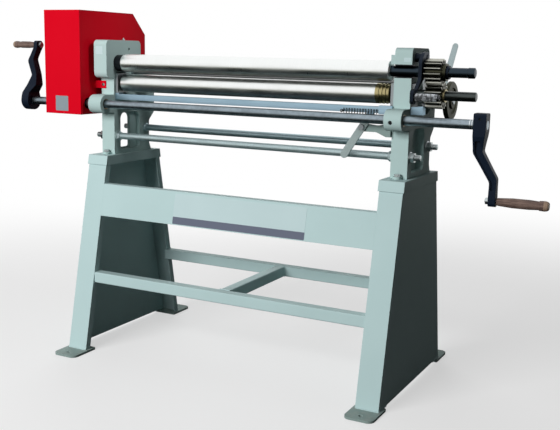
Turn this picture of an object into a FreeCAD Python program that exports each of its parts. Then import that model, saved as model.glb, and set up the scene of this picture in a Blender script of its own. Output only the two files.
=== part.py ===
import FreeCAD, Part
import math
import os
from FreeCAD import Vector

# Hand-cranked slip roll (three-roll sheet bender) on a folded steel stand.
# Millimetres. X runs along the rolls, -Y faces the operator, Z is up.
# Origin: centre of the four floor bolts, on the floor.

# ---- rolls --------------------------------------------------------------------
roll_length = 1070.0
roll_radius = 33.0
roll_chamfer = 2.0
roll_end_gap = 20.0
journal_radius = 17.5
gear_seat_radius = 16.0
top_stub_radius = 15.4
low_stub_radius = 15.0
stub_chamfer = 2.5
stub_collar_rise = 1.2
stub_collar_length = 20.0
top_stub_reach = 196.0
low_stub_reach = 199.0
top_roll_y = -80.0
working_rise = 343.0
nip_offset = 16.0
running_fit = 0.05
seat_gap = 0.3
collar_radius = 29.5
collar_length = 31.7
thrust_ring_radius = 24.0
thrust_ring_width = 7.0
journal_overrun = 22.0
wire_groove_radii = (5.0, 4.2, 3.4)
wire_groove_pitch = 12.5
wire_groove_margin = 8.0

# ---- gears ----------------------------------------------------------------------
gear_module = 5.0
pressure_angle = math.radians(20.0)
link_teeth = 15
pinion_teeth = 12
drive_gear_teeth = 36
link_addendum = 4.6
link_dedendum = 8.2
link_backlash = 2.6
link_lead = 0.67
drive_backlash = 2.0
drive_lead = 0.85
pinion_addendum = 4.6
drive_gear_addendum = 3.8
drive_dedendum = 5.8
link_gear_width = 53.0
link_hub_length = 12.0
link_hub_radius = 27.0
drive_gear_width = 36.0
drive_gear_gap = 50.0
pinion_margin = 2.0
drive_reach = 91.0
ring_radius = 21.0
top_ring_width = 8.0
low_ring_width = 6.0

# ---- side castings ----------------------------------------------------------------
frame_width = 58.0
front_wall = 27.0
frame_rear = 115.0
frame_shoulder_rear = 150.0
frame_foot_rear = 128.0
head_rear = 62.0
right_head_rise = 74.0
left_head_rise = 84.0
head_neck_drop = 60.0
head_rounding = 18.0
shoulder_drop = 30.0
shoulder_rise = 151.0
shoulder_start_rise = 119.0
foot_flare_rise = 30.0
leg_rounding = 20.0
recess_front = -70.0
recess_rear = 52.0
recess_rise = 16.0
recess_height = 141.0
recess_outer_depth = 28.0
recess_inner_depth = 18.0
recess_top_rounding = 26.0
window_rear = 12.0
window_margin = 4.0
boss_radius = 34.0
overhang_reach = 70.0
overhang_drop = 55.0
notch_half = 21.0
slot_end_gap = 2.0
slot_rounding = 4.0
head_bush_wall = 8.0
shaft_bush_wall = 4.0
step_depth = 13.0
step_height = 30.0
lug_radius = 14.0
lug_height = 9.0
foot_bolt_radius = 5.9
foot_bolt_clearance = 0.2
foot_bolt_flats = 18.0
foot_bolt_head = 8.0
oil_hole_radius = 5.0
oil_hole_offset = (68.0, 51.0)
grub_radius = 6.5
grub_depth = 9.0

# ---- bearing blocks -----------------------------------------------------------------
block_height = 73.0
block_above = 35.0
block_below = 41.7
block_half_width = 29.85
slide_gap = 0.15
block_flange = 12.0
block_flange_lip = 6.0
flange_gap = 0.4

# ---- stand ------------------------------------------------------------------------
stand_top = 727.0
stand_ledge = 12.0
flange_width = 80.0
stand_half_top = 165.0
stand_slope = 0.2
sheet = 4.0
lip_width = 25.0
cap_height = 35.0
cap_rounding = 3.0
foot_thickness = 8.0
foot_length = 125.0
foot_width = 100.0
foot_outset = 10.0
foot_reach = 77.6
foot_rounding = 22.0
foot_heel_rounding = 6.0
floor_bolt_edge = 30.0
floor_bolt_radius = 7.0
panel_drop = 103.0
panel_height = 118.0
panel_return = 28.0
rail_size = 40.0
rail_rise = 257.0
rail_wall = 3.0
rail_rounding = 4.0

# ---- tie rods -----------------------------------------------------------------------
tie_radius = 12.5
tie_thread_radius = 9.0
tie_shoulder = 3.0
tie_boss_wall = 7.0
tie_thread_reach = 36.0
tie_nut_flats = 30.0
tie_nut_height = 16.0
front_tie_y = -85.0
front_tie_rise = 69.0
rear_tie_y = 84.0
rear_tie_rise = 91.0

# ---- drive shaft, cranks and grips ------------------------------------------------------
shaft_radius = 15.0
shaft_chamfer = 1.5
shaft_right_reach = 263.0
shaft_left_reach = 131.0
crank_radius = 228.0
left_crank_radius = 212.0
crank_hub_width = 39.5
crank_hub_half_height = 36.0
left_hub_width = 34.0
right_arm_depths = ((22.5, 34.0, 10.0), (16.0, 66.0, 24.0), (12.5, 125.0, 40.0), (12.5, 186.0, 30.0))
left_arm_depths = ((34.0, 14.0, 6.0), (20.0, 60.0, 24.0), (15.0, 100.0, 30.0), (14.0, 178.0, 30.0))
crank_eye_radius = 16.0
crank_hub_rounding = 8.0
grip_gap = 3.0
right_arm_inner = ((0.0, 33.0, 7.0), (2.0, 84.0, 24.0), (56.5, 170.0, 22.0))
right_arm_outer = ((39.5, 18.0, 30.0), (31.0, 78.0, 16.0), (78.5, 158.0, 18.0))
left_arm_inner = ((0.0, 30.0, 10.0), (38.5, 97.0, 14.0), (19.0, 152.0, 18.0), (52.0, 204.0, 12.0))
left_arm_outer = ((34.0, 31.0, 6.0), (61.0, 60.0, 12.0), (61.0, 101.0, 16.0), (45.0, 157.0, 18.0), (69.0, 203.0, 14.0))
arm_groove_floor = 8.0
arm_groove_start = 48.0
arm_groove_stop = 33.0
arm_flange = 5.5
crank_screw_radius = 4.0
crank_screw_rise = 18.5
spindle_radius = 5.0
spindle_head_rise = 2.0
spindle_head_length = 3.0
spindle_head_gap = 0.5
spindle_tail = 12.0
grip_nut_flats = 19.0
grip_nut_height = 10.0
right_grip_length = 154.0
left_grip_length = 108.0
right_grip_radius = 15.0
left_grip_radius = 12.6
grip_bore_gap = 0.08

# ---- rear roll adjustment -----------------------------------------------------------
cam_behind = 139.2
cam_drop = 94.6
cam_shaft_radius = 13.0
cam_radius = 32.0
cam_throw = 14.0
cam_half_turn = math.radians(35.0)
cam_width = 22.0
cam_inset = 20.0
rear_tilt = math.radians(25.0)
rear_block_half_width = 25.85
rear_block_below = 24.0
rear_block_above = 30.0
slot_web = 16.0
rear_lever_reach = 240.0
rear_lever_tilt = math.radians(38.8)
rear_lever_radius = 10.2
rear_hub_gap = 31.0
rear_hub_width = 26.0
rear_hub_radius = 24.0
disc_gap = 72.0
disc_width = 16.0
rear_disc_radius = 64.0
disc_chamfer = 3.0
disc_dish = 4.0
disc_rim = 20.0

# ---- lower roll lift -------------------------------------------------------------------
lift_travel = 3.0
bar_stroke = 28.0
bar_front = -100.0
bar_depth = 25.0
bar_height = 21.0
bar_outboard = 40.0
bar_left_inset = 10.0
bar_ramp_overrun = 15.0
lever_back = 97.0
lever_drop = 46.0
lever_rest_tilt = math.radians(33.0)
lever_length = 122.0
lever_head_length = 38.0
lever_pin_rise = 25.2
lever_pin_radius = 4.0
lever_slot_gap = 1.6
lever_slot_start = 17.0
lever_width = 25.0
lever_plate = 6.0
lever_standoff = 26.0
pivot_bolt_radius = 6.0
spring_stretch = 127.0
spring_radius = 9.0
spring_wire = 1.2
spring_turns = 17
spring_hook_room = 6.0
spring_pin_radius = 3.0
guide_length = 44.0
guide_depth = 18.0
guide_rise = 5.0
bar_lug_half = 13.0
bar_lug_depth = 9.0
bracket_foot = 42.0
bracket_eye_half = 14.0

# ---- latch of the top roll ------------------------------------------------------------
latch_gap = 28.0
latch_plate = 11.0
latch_gear_gap = 3.0
latch_pivot_rise = 44.0
latch_pivot_behind = 8.0
latch_pin_radius = 7.0
latch_boss_radius = 14.0
latch_pin_head = 1.5
latch_clearance = 1.5
latch_grip_offset = (-104.0, -76.0)
latch_arm_points = (
    (24.0, 60.0, 14.0), (-20.0, 62.0, 22.0), (-49.0, 34.0, 20.0), (-49.0, -24.0, 22.0),
    (-83.0, -53.0, 10.0), (-118.0, -54.0, 9.0), (-118.0, -97.0, 9.0), (-92.0, -97.0, 8.0),
    (-89.0, -64.0, 12.0), (-46.0, -36.0, 30.0), (-19.0, -18.0, 18.0), (-19.0, 14.0, 16.0),
    (24.0, 30.0, 14.0),
)
latch_handle_length = 79.0
latch_handle_radius = 12.4

# ---- gear cover -----------------------------------------------------------------------
cover_sheet = 2.0
cover_gap = 27.0
cover_width = 168.0
cover_front = -197.0
cover_rear = 208.0
cover_rise = 150.0
cover_height = 383.0
cover_chamfer = 80.0
cover_fold = 2.0
cover_hole_gap = 3.0
tab_height = 28.0
tab_sheet = 3.0
tab_reach = 22.0
tab_drop = 26.3
rear_tab_drop = 43.3
screw_radius = 3.0
screw_head_radius = 6.5
screw_head = 4.0

# ---- places that follow from those sizes ------------------------------------------------
roll_end = roll_length / 2.0
frame_inner = roll_end + roll_end_gap
frame_outer = frame_inner + frame_width
frame_middle = frame_inner + frame_width / 2.0
stand_outer = frame_outer + stand_ledge
stand_inner = stand_outer - flange_width
top_roll_z = stand_top + working_rise
link_centres = gear_module * link_teeth
low_roll_y = top_roll_y + nip_offset
low_roll_z = top_roll_z - math.sqrt(link_centres ** 2 - nip_offset ** 2)
drive_centres = gear_module * (pinion_teeth + drive_gear_teeth) / 2.0
drive_y = low_roll_y - drive_reach
drive_z = low_roll_z - math.sqrt(drive_centres ** 2 - drive_reach ** 2)
frame_front = top_roll_y - front_wall
overhang_front = top_roll_y - overhang_reach
overhang_base = top_roll_z - overhang_drop
recess_base = stand_top + recess_rise
recess_top = recess_base + recess_height
front_tie = (front_tie_y, stand_top + front_tie_rise)
rear_tie = (rear_tie_y, stand_top + rear_tie_rise)
foot_bolts_y = (frame_front - lug_radius + 1.0, frame_foot_rear + lug_radius - 1.0)
lug_top = stand_top + lug_height
foot_front = stand_half_top + stand_slope * stand_top + foot_reach
floor_bolt_y = foot_front - floor_bolt_edge
panel_top = stand_top - panel_drop
panel_base = panel_top - panel_height
block_top = low_roll_z + block_above
bar_top_z = low_roll_z - block_below
bar_base = bar_top_z - bar_height
ramp_slope = lift_travel / bar_stroke
bar_slot_top = bar_top_z + ramp_slope * (frame_outer + bar_stroke - frame_middle) + seat_gap
cam_axis = (top_roll_y + cam_behind, top_roll_z - cam_drop)
cam_low_reach = cam_radius - cam_throw * math.sin(cam_half_turn)
rear_travel = 2.0 * cam_throw * math.sin(cam_half_turn)
rear_rise = (-math.sin(rear_tilt), math.cos(rear_tilt))
rear_roll_reach = cam_low_reach + seat_gap + rear_block_below
rear_roll_y = cam_axis[0] + rear_rise[0] * rear_roll_reach
rear_roll_z = cam_axis[1] + rear_rise[1] * rear_roll_reach
rear_lever_hub = frame_outer + rear_hub_gap
disc_outer = frame_outer + disc_gap + disc_width
latch_start = frame_outer + latch_gap
latch_stop = latch_start + latch_plate
latch_pivot = (top_roll_y + latch_pivot_behind, top_roll_z + latch_pivot_rise)
latch_grip = (top_roll_y + latch_grip_offset[0], top_roll_z + latch_grip_offset[1])
gear_plane = latch_stop + latch_gear_gap
drive_gear_plane = -(frame_outer + drive_gear_gap)
cover_inner = frame_outer + cover_gap
cover_outer = cover_inner + cover_width
cover_base = stand_top + cover_rise
cover_top = cover_base + cover_height
shaft_right_end = frame_outer + shaft_right_reach
shaft_left_end = -(cover_outer + shaft_left_reach)
lever_pivot = (frame_inner - lever_back, bar_base - lever_drop)
lever_front = bar_front - lever_standoff
lever_pin = (lever_pivot[0] + lever_pin_rise * math.tan(lever_rest_tilt), lever_pivot[1] + lever_pin_rise)
spring_right = frame_inner - guide_length
spring_left = spring_right - spring_stretch
spring_z = bar_base + spring_wire * 3.0
top_roll_start = seat_gap + collar_length - frame_inner

os.makedirs("parts", exist_ok=True)


# ---- construction helpers ---------------------------------------------------------------
def on_yz(a, b):
    """Place a profile point (a, b) on the Y-Z plane."""
    return Vector(0, a, b)


def on_xz(a, b):
    """Place a profile point (a, b) on the X-Z plane."""
    return Vector(a, 0, b)


def on_xy(a, b):
    """Place a profile point (a, b) on the X-Y plane."""
    return Vector(a, b, 0)


def outline(corners, place):
    """Closed wire through (a, b, radius) corners; each corner is rounded by its radius."""
    ends = []
    count = len(corners)
    for i in range(count):
        here = Vector(corners[i][0], corners[i][1], 0)
        before = Vector(corners[i - 1][0], corners[i - 1][1], 0)
        after = Vector(corners[(i + 1) % count][0], corners[(i + 1) % count][1], 0)
        to_before = before - here
        to_after = after - here
        room = 0.49 * min(to_before.Length, to_after.Length)
        to_before.normalize()
        to_after.normalize()
        half = math.acos(max(-1.0, min(1.0, to_before.dot(to_after)))) / 2.0
        radius = min(corners[i][2], room * math.tan(half))
        if radius <= 0.0 or half > math.radians(89.5):
            ends.append((here, None, here))
            continue
        back = radius / math.tan(half)
        middle = (to_before + to_after).normalize() * (radius / math.sin(half) - radius)
        ends.append((here + to_before * back, here + middle, here + to_after * back))
    edges = []
    for i in range(count):
        start, mid, stop = [p and place(p.x, p.y) for p in ends[i]]
        if mid is not None:
            edges.append(Part.Arc(start, mid, stop).toShape())
        follow = place(ends[(i + 1) % count][0].x, ends[(i + 1) % count][0].y)
        if stop.distanceToPoint(follow) > 1e-6:
            edges.append(Part.LineSegment(stop, follow).toShape())
    return Part.Wire(Part.__sortEdges__(edges))


def slab_x(corners, x0, x1):
    """Y-Z outline carried along X from x0 to x1."""
    face = Part.Face(outline(corners, on_yz))
    return face.extrude(Vector(x1 - x0, 0, 0)).translate(Vector(x0, 0, 0))


def slab_y(corners, y0, y1):
    """X-Z outline carried along Y from y0 to y1."""
    face = Part.Face(outline(corners, on_xz))
    return face.extrude(Vector(0, y1 - y0, 0)).translate(Vector(0, y0, 0))


def slab_z(corners, z0, z1):
    """X-Y outline carried along Z from z0 to z1."""
    face = Part.Face(outline(corners, on_xy))
    return face.extrude(Vector(0, 0, z1 - z0)).translate(Vector(0, 0, z0))


def block(x0, x1, y0, y1, z0, z1):
    """Rectangular block between two corners."""
    return Part.makeBox(x1 - x0, y1 - y0, z1 - z0, Vector(x0, y0, z0))


def rod_x(y, z, radius, x0, x1):
    """Round bar along X."""
    return Part.makeCylinder(radius, x1 - x0, Vector(x0, y, z), Vector(1, 0, 0))


def rod_y(x, z, radius, y0, y1):
    """Round bar along Y."""
    return Part.makeCylinder(radius, y1 - y0, Vector(x, y0, z), Vector(0, 1, 0))


def rod_z(x, y, radius, z0, z1):
    """Round bar along Z."""
    return Part.makeCylinder(radius, z1 - z0, Vector(x, y, z0), Vector(0, 0, 1))


def tube_x(y, z, outer, inner, x0, x1):
    """Ring or sleeve along X."""
    return rod_x(y, z, outer, x0, x1).cut(rod_x(y, z, inner, x0 - 1.0, x1 + 1.0))


def hex_corners(a, b, across_flats):
    """Six corners of a hexagon about (a, b)."""
    reach = across_flats / 2.0 / math.cos(math.pi / 6.0)
    angles = [math.pi / 3.0 * k for k in range(6)]
    return [(a + reach * math.cos(t), b + reach * math.sin(t), 0.0) for t in angles]


def hex_x(y, z, across_flats, x0, x1):
    """Hexagon bar along X."""
    return slab_x(hex_corners(y, z, across_flats), x0, x1)


def mirrored(shape):
    """The same shape on the other side of the machine's middle plane."""
    return shape.mirror(Vector(0, 0, 0), Vector(1, 0, 0))


def joined(shapes):
    """One solid from touching shapes, without the seams between them."""
    first, *rest = shapes
    return first.fuse(rest).removeSplitter()


def turned_x(profile, y, z):
    """Solid of revolution about an X-parallel axis from (x, radius[, rounding]) points."""
    corners = [(profile[0][0], 0.0, 0.0)]
    corners += [(point[0], point[1], point[2] if len(point) > 2 else 0.0) for point in profile]
    corners.append((profile[-1][0], 0.0, 0.0))
    wire = outline(corners, lambda a, b: Vector(a, y + b, z))
    return Part.Face(wire).revolve(Vector(0, y, z), Vector(1, 0, 0), 360)


def save(name, shapes):
    """Write one node: a single solid, or a group of separate ones."""
    group = shapes if isinstance(shapes, list) else [shapes]
    solids = [solid for shape in group for solid in shape.Solids]
    whole = solids[0] if len(solids) == 1 else Part.makeCompound(solids)
    whole.exportStep("parts/" + name + ".step")


# ---- gears -------------------------------------------------------------------------------
def involute(angle):
    """Involute of an angle."""
    return math.tan(angle) - angle


def spur_gear(teeth, addendum, dedendum, backlash, bore, x0, width, y, z, tooth_at):
    """Involute spur gear about an X axis; one tooth is centred on the angle tooth_at."""
    pitch = gear_module * teeth / 2.0
    base = pitch * math.cos(pressure_angle)
    tip = pitch + addendum
    root = pitch - dedendum
    low = max(base, root)
    thickness = math.pi * gear_module / 2.0 - backlash / 2.0
    half_at_pitch = thickness / (2.0 * pitch) + involute(pressure_angle)

    def at(radius, angle):
        return Vector(0, y + radius * math.cos(angle), z + radius * math.sin(angle))

    def half_angle(radius):
        return half_at_pitch - involute(math.acos(min(1.0, base / radius)))

    edges = []
    middle = (low + tip) / 2.0
    for k in range(teeth):
        centre = tooth_at + 2.0 * math.pi * k / teeth
        following = tooth_at + 2.0 * math.pi * (k + 1) / teeth
        rise = [at(r, centre - half_angle(r)) for r in (low, middle, tip)]
        fall = [at(r, centre + half_angle(r)) for r in (tip, middle, low)]
        foot_in = at(root, centre - half_angle(low))
        foot_out = at(root, centre + half_angle(low))
        next_in = at(root, following - half_angle(low))
        if low - root > 1e-6:
            edges.append(Part.LineSegment(foot_in, rise[0]).toShape())
        edges.append(Part.Arc(*rise).toShape())
        edges.append(Part.Arc(rise[2], at(tip, centre), fall[0]).toShape())
        edges.append(Part.Arc(*fall).toShape())
        if low - root > 1e-6:
            edges.append(Part.LineSegment(fall[2], foot_out).toShape())
        valley = at(root, (centre + following) / 2.0)
        edges.append(Part.Arc(foot_out, valley, next_in).toShape())
    blank = Part.Face(Part.Wire(edges)).extrude(Vector(width, 0, 0)).translate(Vector(x0, 0, 0))
    return blank.cut(rod_x(y, z, bore, x0 - 1.0, x0 + width + 1.0))


# ---- stand -------------------------------------------------------------------------------
def stand_half_depth(z):
    """Outer half depth of a pedestal at height z."""
    return stand_half_top + stand_slope * (stand_top - z)


def sloped_strip(near, far, x0, x1, z0, z1, side):
    """Plate that follows the pedestal's front (side -1) or rear (side 1) slope."""
    corners = [
        (side * (stand_half_depth(z0) - near), z0, 0.0),
        (side * (stand_half_depth(z1) - near), z1, 0.0),
        (side * (stand_half_depth(z1) - far), z1, 0.0),
        (side * (stand_half_depth(z0) - far), z0, 0.0),
    ]
    return slab_x(corners, x0, x1)


def pedestal():
    """Folded channel: outer web, two sloped flanges and their return lips."""
    base = foot_thickness
    top = stand_top - sheet
    web = [
        (-stand_half_depth(base), base, 0.0),
        (-stand_half_depth(top), top, 0.0),
        (stand_half_depth(top), top, 0.0),
        (stand_half_depth(base), base, 0.0),
    ]
    parts = [slab_x(web, stand_outer - sheet, stand_outer)]
    for side in (-1, 1):
        parts.append(sloped_strip(0.0, sheet, stand_inner, stand_outer, base, top, side))
        parts.append(sloped_strip(0.0, lip_width, stand_inner, stand_inner + sheet, base, top, side))
    return joined(parts)


def pedestal_cap():
    """Tray welded over the pedestal's top, its skirt following the slope."""
    low = stand_top - cap_height
    under = stand_top - sheet
    outer = [
        (-stand_half_depth(low) - sheet, low, 0.0),
        (-stand_half_depth(stand_top) - sheet, stand_top, cap_rounding),
        (stand_half_depth(stand_top) + sheet, stand_top, cap_rounding),
        (stand_half_depth(low) + sheet, low, 0.0),
    ]
    inside = [
        (-stand_half_depth(low - 1.0), low - 1.0, 0.0),
        (-stand_half_depth(under), under, 0.0),
        (stand_half_depth(under), under, 0.0),
        (stand_half_depth(low - 1.0), low - 1.0, 0.0),
    ]
    shell = slab_x(outer, stand_inner - sheet, stand_outer + sheet)
    return shell.cut(slab_x(inside, stand_inner, stand_outer))


def foot_plate(side_x, side_y):
    """Rounded floor plate with one anchor hole."""
    x_out = stand_outer + foot_outset
    y_in = foot_front - foot_length
    corners = [
        (x_out - foot_width, y_in, foot_heel_rounding),
        (x_out, y_in, foot_heel_rounding),
        (x_out, foot_front, foot_rounding),
        (x_out - foot_width, foot_front, foot_rounding),
    ]
    plate = slab_z(corners, 0.0, foot_thickness)
    hole = rod_z(x_out - foot_width / 2.0, floor_bolt_y, floor_bolt_radius, -1.0, foot_thickness + 1.0)
    plate = plate.cut(hole)
    if side_x < 0:
        plate = mirrored(plate)
    if side_y < 0:
        plate = plate.mirror(Vector(0, 0, 0), Vector(0, 1, 0))
    return plate


def front_panel():
    """Wide folded panel between the pedestals, with top and bottom returns."""
    parts = [sloped_strip(0.0, sheet, -stand_inner, stand_inner, panel_base, panel_top, -1)]
    for z0 in (panel_base, panel_top - sheet):
        front = -stand_half_depth(z0 + sheet / 2.0) + sheet / 2.0
        parts.append(block(-stand_inner, stand_inner, front, front + panel_return, z0, z0 + sheet))
    return joined(parts)


def square_tube_x(y0, z0, x0, x1):
    """Square tube along X with rounded outer corners."""
    def ring(inset, radius):
        low = (y0 + inset, z0 + inset)
        high = (y0 + rail_size - inset, z0 + rail_size - inset)
        return [
            (low[0], low[1], radius),
            (high[0], low[1], radius),
            (high[0], high[1], radius),
            (low[0], high[1], radius),
        ]
    inside = slab_x(ring(rail_wall, rail_rounding - rail_wall), x0 - 1.0, x1 + 1.0)
    return slab_x(ring(0.0, rail_rounding), x0, x1).cut(inside)


def build_stand():
    """Pedestals, caps, feet, panel and the three lower rails."""
    right = pedestal()
    save("right_pedestal", right)
    save("left_pedestal", mirrored(right))
    cap = pedestal_cap()
    save("pedestal_caps", [cap, mirrored(cap)])
    save("foot_plates", [foot_plate(a, b) for a in (-1, 1) for b in (-1, 1)])
    save("front_panel", front_panel())
    rail_y = stand_half_depth(rail_rise + rail_size) - rail_size
    save("front_rail", square_tube_x(-rail_y - rail_size, rail_rise, -stand_inner, stand_inner))
    save("rear_rail", square_tube_x(rail_y, rail_rise, -stand_inner, stand_inner))
    across = square_tube_x(-rail_size / 2.0, rail_rise, -rail_y, rail_y)
    save("cross_rail", across.rotate(Vector(0, 0, 0), Vector(0, 0, 1), 90))


# ---- side frames ---------------------------------------------------------------------------
def frame_rear_profile(head_top):
    """Rear edge of a side casting, from the head down to the foot."""
    return [
        (head_rear, head_top, head_rounding),
        (head_rear, head_top - head_neck_drop, leg_rounding),
        (frame_shoulder_rear, top_roll_z - shoulder_drop, head_rounding),
        (frame_shoulder_rear, stand_top + shoulder_rise, leg_rounding),
        (frame_rear, stand_top + shoulder_start_rise, leg_rounding),
        (frame_rear, stand_top + foot_flare_rise, leg_rounding),
        (frame_foot_rear, stand_top, 0.0),
    ]


def casting_blank(side):
    """Outer body of a side casting: left has the overhanging head, right the open one."""
    front = [(frame_front, stand_top, 0.0)]
    if side == "left":
        head_top = top_roll_z + left_head_rise
        front.append((frame_front, overhang_base, step_depth / 2.0))
        front.append((overhang_front, overhang_base, leg_rounding))
        front.append((overhang_front, head_top, head_rounding))
    else:
        head_top = top_roll_z + right_head_rise
        front.append((frame_front, head_top, head_rounding))
    body = slab_x(front + frame_rear_profile(head_top), frame_inner, frame_outer)
    boss = rod_x(drive_y, drive_z, boss_radius, frame_inner, frame_outer)
    neck = block(frame_inner, frame_outer, drive_y, frame_front + 1.0, drive_z - boss_radius, drive_z + boss_radius)
    pieces = [body, boss, neck]
    for y, inward in zip(foot_bolts_y, (lug_radius, -lug_radius)):
        low, high = sorted((y, y + inward))
        pieces.append(rod_z(frame_middle, y, lug_radius, stand_top, lug_top))
        pieces.append(block(frame_middle - lug_radius, frame_middle + lug_radius, low, high, stand_top, lug_top))
    for y, z in (front_tie, rear_tie):
        pieces.append(rod_x(y, z, tie_radius + tie_boss_wall, frame_inner - tie_shoulder, frame_outer))
    return joined(pieces)


def recess(x0, x1):
    """Rounded hollow between a casting's front and rear legs."""
    corners = [
        (recess_front, recess_base, recess_top_rounding / 2.0),
        (recess_rear, recess_base, recess_top_rounding / 2.0),
        (recess_rear, recess_top, recess_top_rounding),
        (recess_front, recess_top, recess_top_rounding),
    ]
    return slab_x(corners, x0, x1)


def window():
    """Opening through the web at the bottom of that hollow."""
    rounding = recess_top_rounding - window_margin
    corners = [
        (recess_front + window_margin, recess_base + window_margin, rounding / 2.0),
        (window_rear, recess_base + window_margin, rounding / 2.0),
        (window_rear, recess_top - window_margin, rounding),
        (recess_front + window_margin, recess_top - window_margin, rounding),
    ]
    return slab_x(corners, frame_inner - 1.0, frame_outer + 1.0)


def rear_slot():
    """Inclined slot for the rear bearing block, with the round cam pocket at its foot."""
    along = Vector(0, rear_rise[0], rear_rise[1])
    across = Vector(0, rear_rise[1], -rear_rise[0])
    half = rear_block_half_width + slide_gap
    start = Vector(0, cam_axis[0], cam_axis[1])
    stop = start + along * (rear_roll_reach + rear_block_above + rear_travel + slot_end_gap)
    corners = [start - across * half, start + across * half, stop + across * half, stop - across * half]
    radii = (0.0, 0.0, slot_rounding, slot_rounding)
    path = [(c.y, c.z, r) for c, r in zip(corners, radii)]
    web = frame_inner + slot_web
    channel = slab_x(path, web, frame_outer + 1.0)
    raised = start + along * (cam_low_reach - slot_end_gap)
    upper = [raised - across * half, raised + across * half, stop + across * half, stop - across * half]
    through = slab_x([(c.y, c.z, slot_rounding) for c in upper], frame_inner - 1.0, web + 1.0)
    pocket = rod_x(cam_axis[0], cam_axis[1], cam_radius + cam_throw + slot_end_gap, web, frame_outer + 1.0)
    return [channel, through, pocket]


def casting_cuts():
    """Hollows, slots and bores that both castings share."""
    half = block_half_width + slide_gap
    slot_base = bar_top_z - 2.0 * lift_travel
    slot_top = block_top + lift_travel + seat_gap
    start = frame_inner - tie_shoulder - 1.0
    stop = frame_outer + 1.0
    cuts = [
        recess(frame_outer - recess_outer_depth, stop),
        recess(start, frame_inner + recess_inner_depth),
        window(),
        block(start, stop, low_roll_y - half, low_roll_y + half, slot_base, slot_top),
        block(
            start, stop,
            bar_front - seat_gap, bar_front + bar_depth + seat_gap,
            bar_base - seat_gap, bar_slot_top,
        ),
        rod_x(drive_y, drive_z, shaft_radius + shaft_bush_wall, start, stop),
        rod_x(cam_axis[0], cam_axis[1], cam_shaft_radius + running_fit, start, stop),
    ]
    for y, z in (front_tie, rear_tie):
        cuts.append(rod_x(y, z, tie_thread_radius + running_fit, start, stop))
    for y in foot_bolts_y:
        cuts.append(rod_z(frame_middle, y, foot_bolt_radius + foot_bolt_clearance, stand_top - 1.0, lug_top + 1.0))
    return cuts + rear_slot()


def right_frame():
    """Casting whose head is open to the front, so that the top roll can be swung out."""
    step_base = top_roll_z + notch_half
    step = block(frame_inner - step_depth, frame_inner + 1.0, frame_front + 2.0, top_roll_y + notch_half,
                 step_base, step_base + step_height)
    body = joined([casting_blank("right"), step])
    start = frame_inner - step_depth - 1.0
    mouth = block(start, frame_outer + 1.0, frame_front - 1.0, top_roll_y,
                  top_roll_z - notch_half, step_base)
    throat = rod_x(top_roll_y, top_roll_z, notch_half, start, frame_outer + 1.0)
    pin_hole = rod_x(latch_pivot[0], latch_pivot[1], latch_pin_radius, frame_middle, frame_outer + 1.0)
    grub_hole = rod_y(frame_middle - grub_radius, drive_z - grub_radius, grub_radius,
                      drive_y - boss_radius - 1.0, drive_y - boss_radius + grub_depth)
    return body.cut([mouth, throat, pin_hole, grub_hole] + casting_cuts())


def left_frame():
    """Casting with the closed, overhanging head that carries the fixed bearing."""
    bore = rod_x(top_roll_y, top_roll_z, journal_radius + head_bush_wall, frame_inner - 1.0, frame_outer + 1.0)
    oiler = rod_x(top_roll_y + oil_hole_offset[0], top_roll_z + oil_hole_offset[1], oil_hole_radius,
                  frame_inner - 1.0, frame_inner + step_depth)
    return mirrored(casting_blank("left").cut([bore, oiler] + casting_cuts()))


def build_frames():
    """Side castings with the bushes and the liner that sit in them."""
    save("right_frame", right_frame())
    save("left_frame", left_frame())
    bush = tube_x(drive_y, drive_z, shaft_radius + shaft_bush_wall, shaft_radius + running_fit,
                  frame_inner, frame_outer)
    save("drive_shaft_bushes", [bush, mirrored(bush)])
    open_bore = journal_radius + running_fit
    head_bush = tube_x(top_roll_y, top_roll_z, journal_radius + head_bush_wall, open_bore, frame_inner, frame_outer)
    save("top_roll_left_bush", mirrored(head_bush))
    liner = joined([
        rod_x(top_roll_y, top_roll_z, notch_half, frame_inner, frame_outer),
        block(frame_inner, frame_outer, frame_front + slot_rounding, top_roll_y,
              top_roll_z - notch_half, top_roll_z + notch_half),
    ])
    slot = block(frame_inner - 1.0, frame_outer + 1.0, frame_front, top_roll_y,
                 top_roll_z - open_bore, top_roll_z + open_bore)
    journal = rod_x(top_roll_y, top_roll_z, open_bore, frame_inner - 1.0, frame_outer + 1.0)
    save("top_roll_right_liner", liner.cut([slot, journal]))


def build_ties():
    """Tie rods with shouldered ends, their nuts, and the bolts at the castings' feet."""
    nuts = []
    shoulder = frame_inner - tie_shoulder
    thread_end = frame_outer + tie_thread_reach
    nut_end = frame_outer + tie_nut_height
    for name, (y, z) in (("front_tie_rod", front_tie), ("rear_tie_rod", rear_tie)):
        rod = joined([
            rod_x(y, z, tie_radius, -shoulder, shoulder),
            rod_x(y, z, tie_thread_radius, -thread_end, thread_end),
        ])
        save(name, rod)
        bore = rod_x(y, z, tie_thread_radius, frame_outer - 1.0, nut_end + 1.0)
        nut = hex_x(y, z, tie_nut_flats, frame_outer, nut_end).cut(bore)
        nuts += [nut, mirrored(nut)]
    save("tie_rod_nuts", nuts)
    bolts = []
    for y in foot_bolts_y:
        head = slab_z(hex_corners(frame_middle, y, foot_bolt_flats), lug_top, lug_top + foot_bolt_head)
        shank = rod_z(frame_middle, y, foot_bolt_radius, stand_top, lug_top + 1.0)
        bolt = joined([head, shank])
        bolts += [bolt, mirrored(bolt)]
    save("frame_bolts", bolts)


# ---- rolls and their gears --------------------------------------------------------------------
def link_tooth_angle():
    """Direction from the top roll's axis to the lower roll's axis."""
    return math.atan2(low_roll_z - top_roll_z, low_roll_y - top_roll_y)


def journal_end(x, radius, inward):
    """Two profile points of a shaft's chamfered end; inward points along X into the shaft."""
    return [(x, radius - stub_chamfer), (x + inward * stub_chamfer, radius)]


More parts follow.
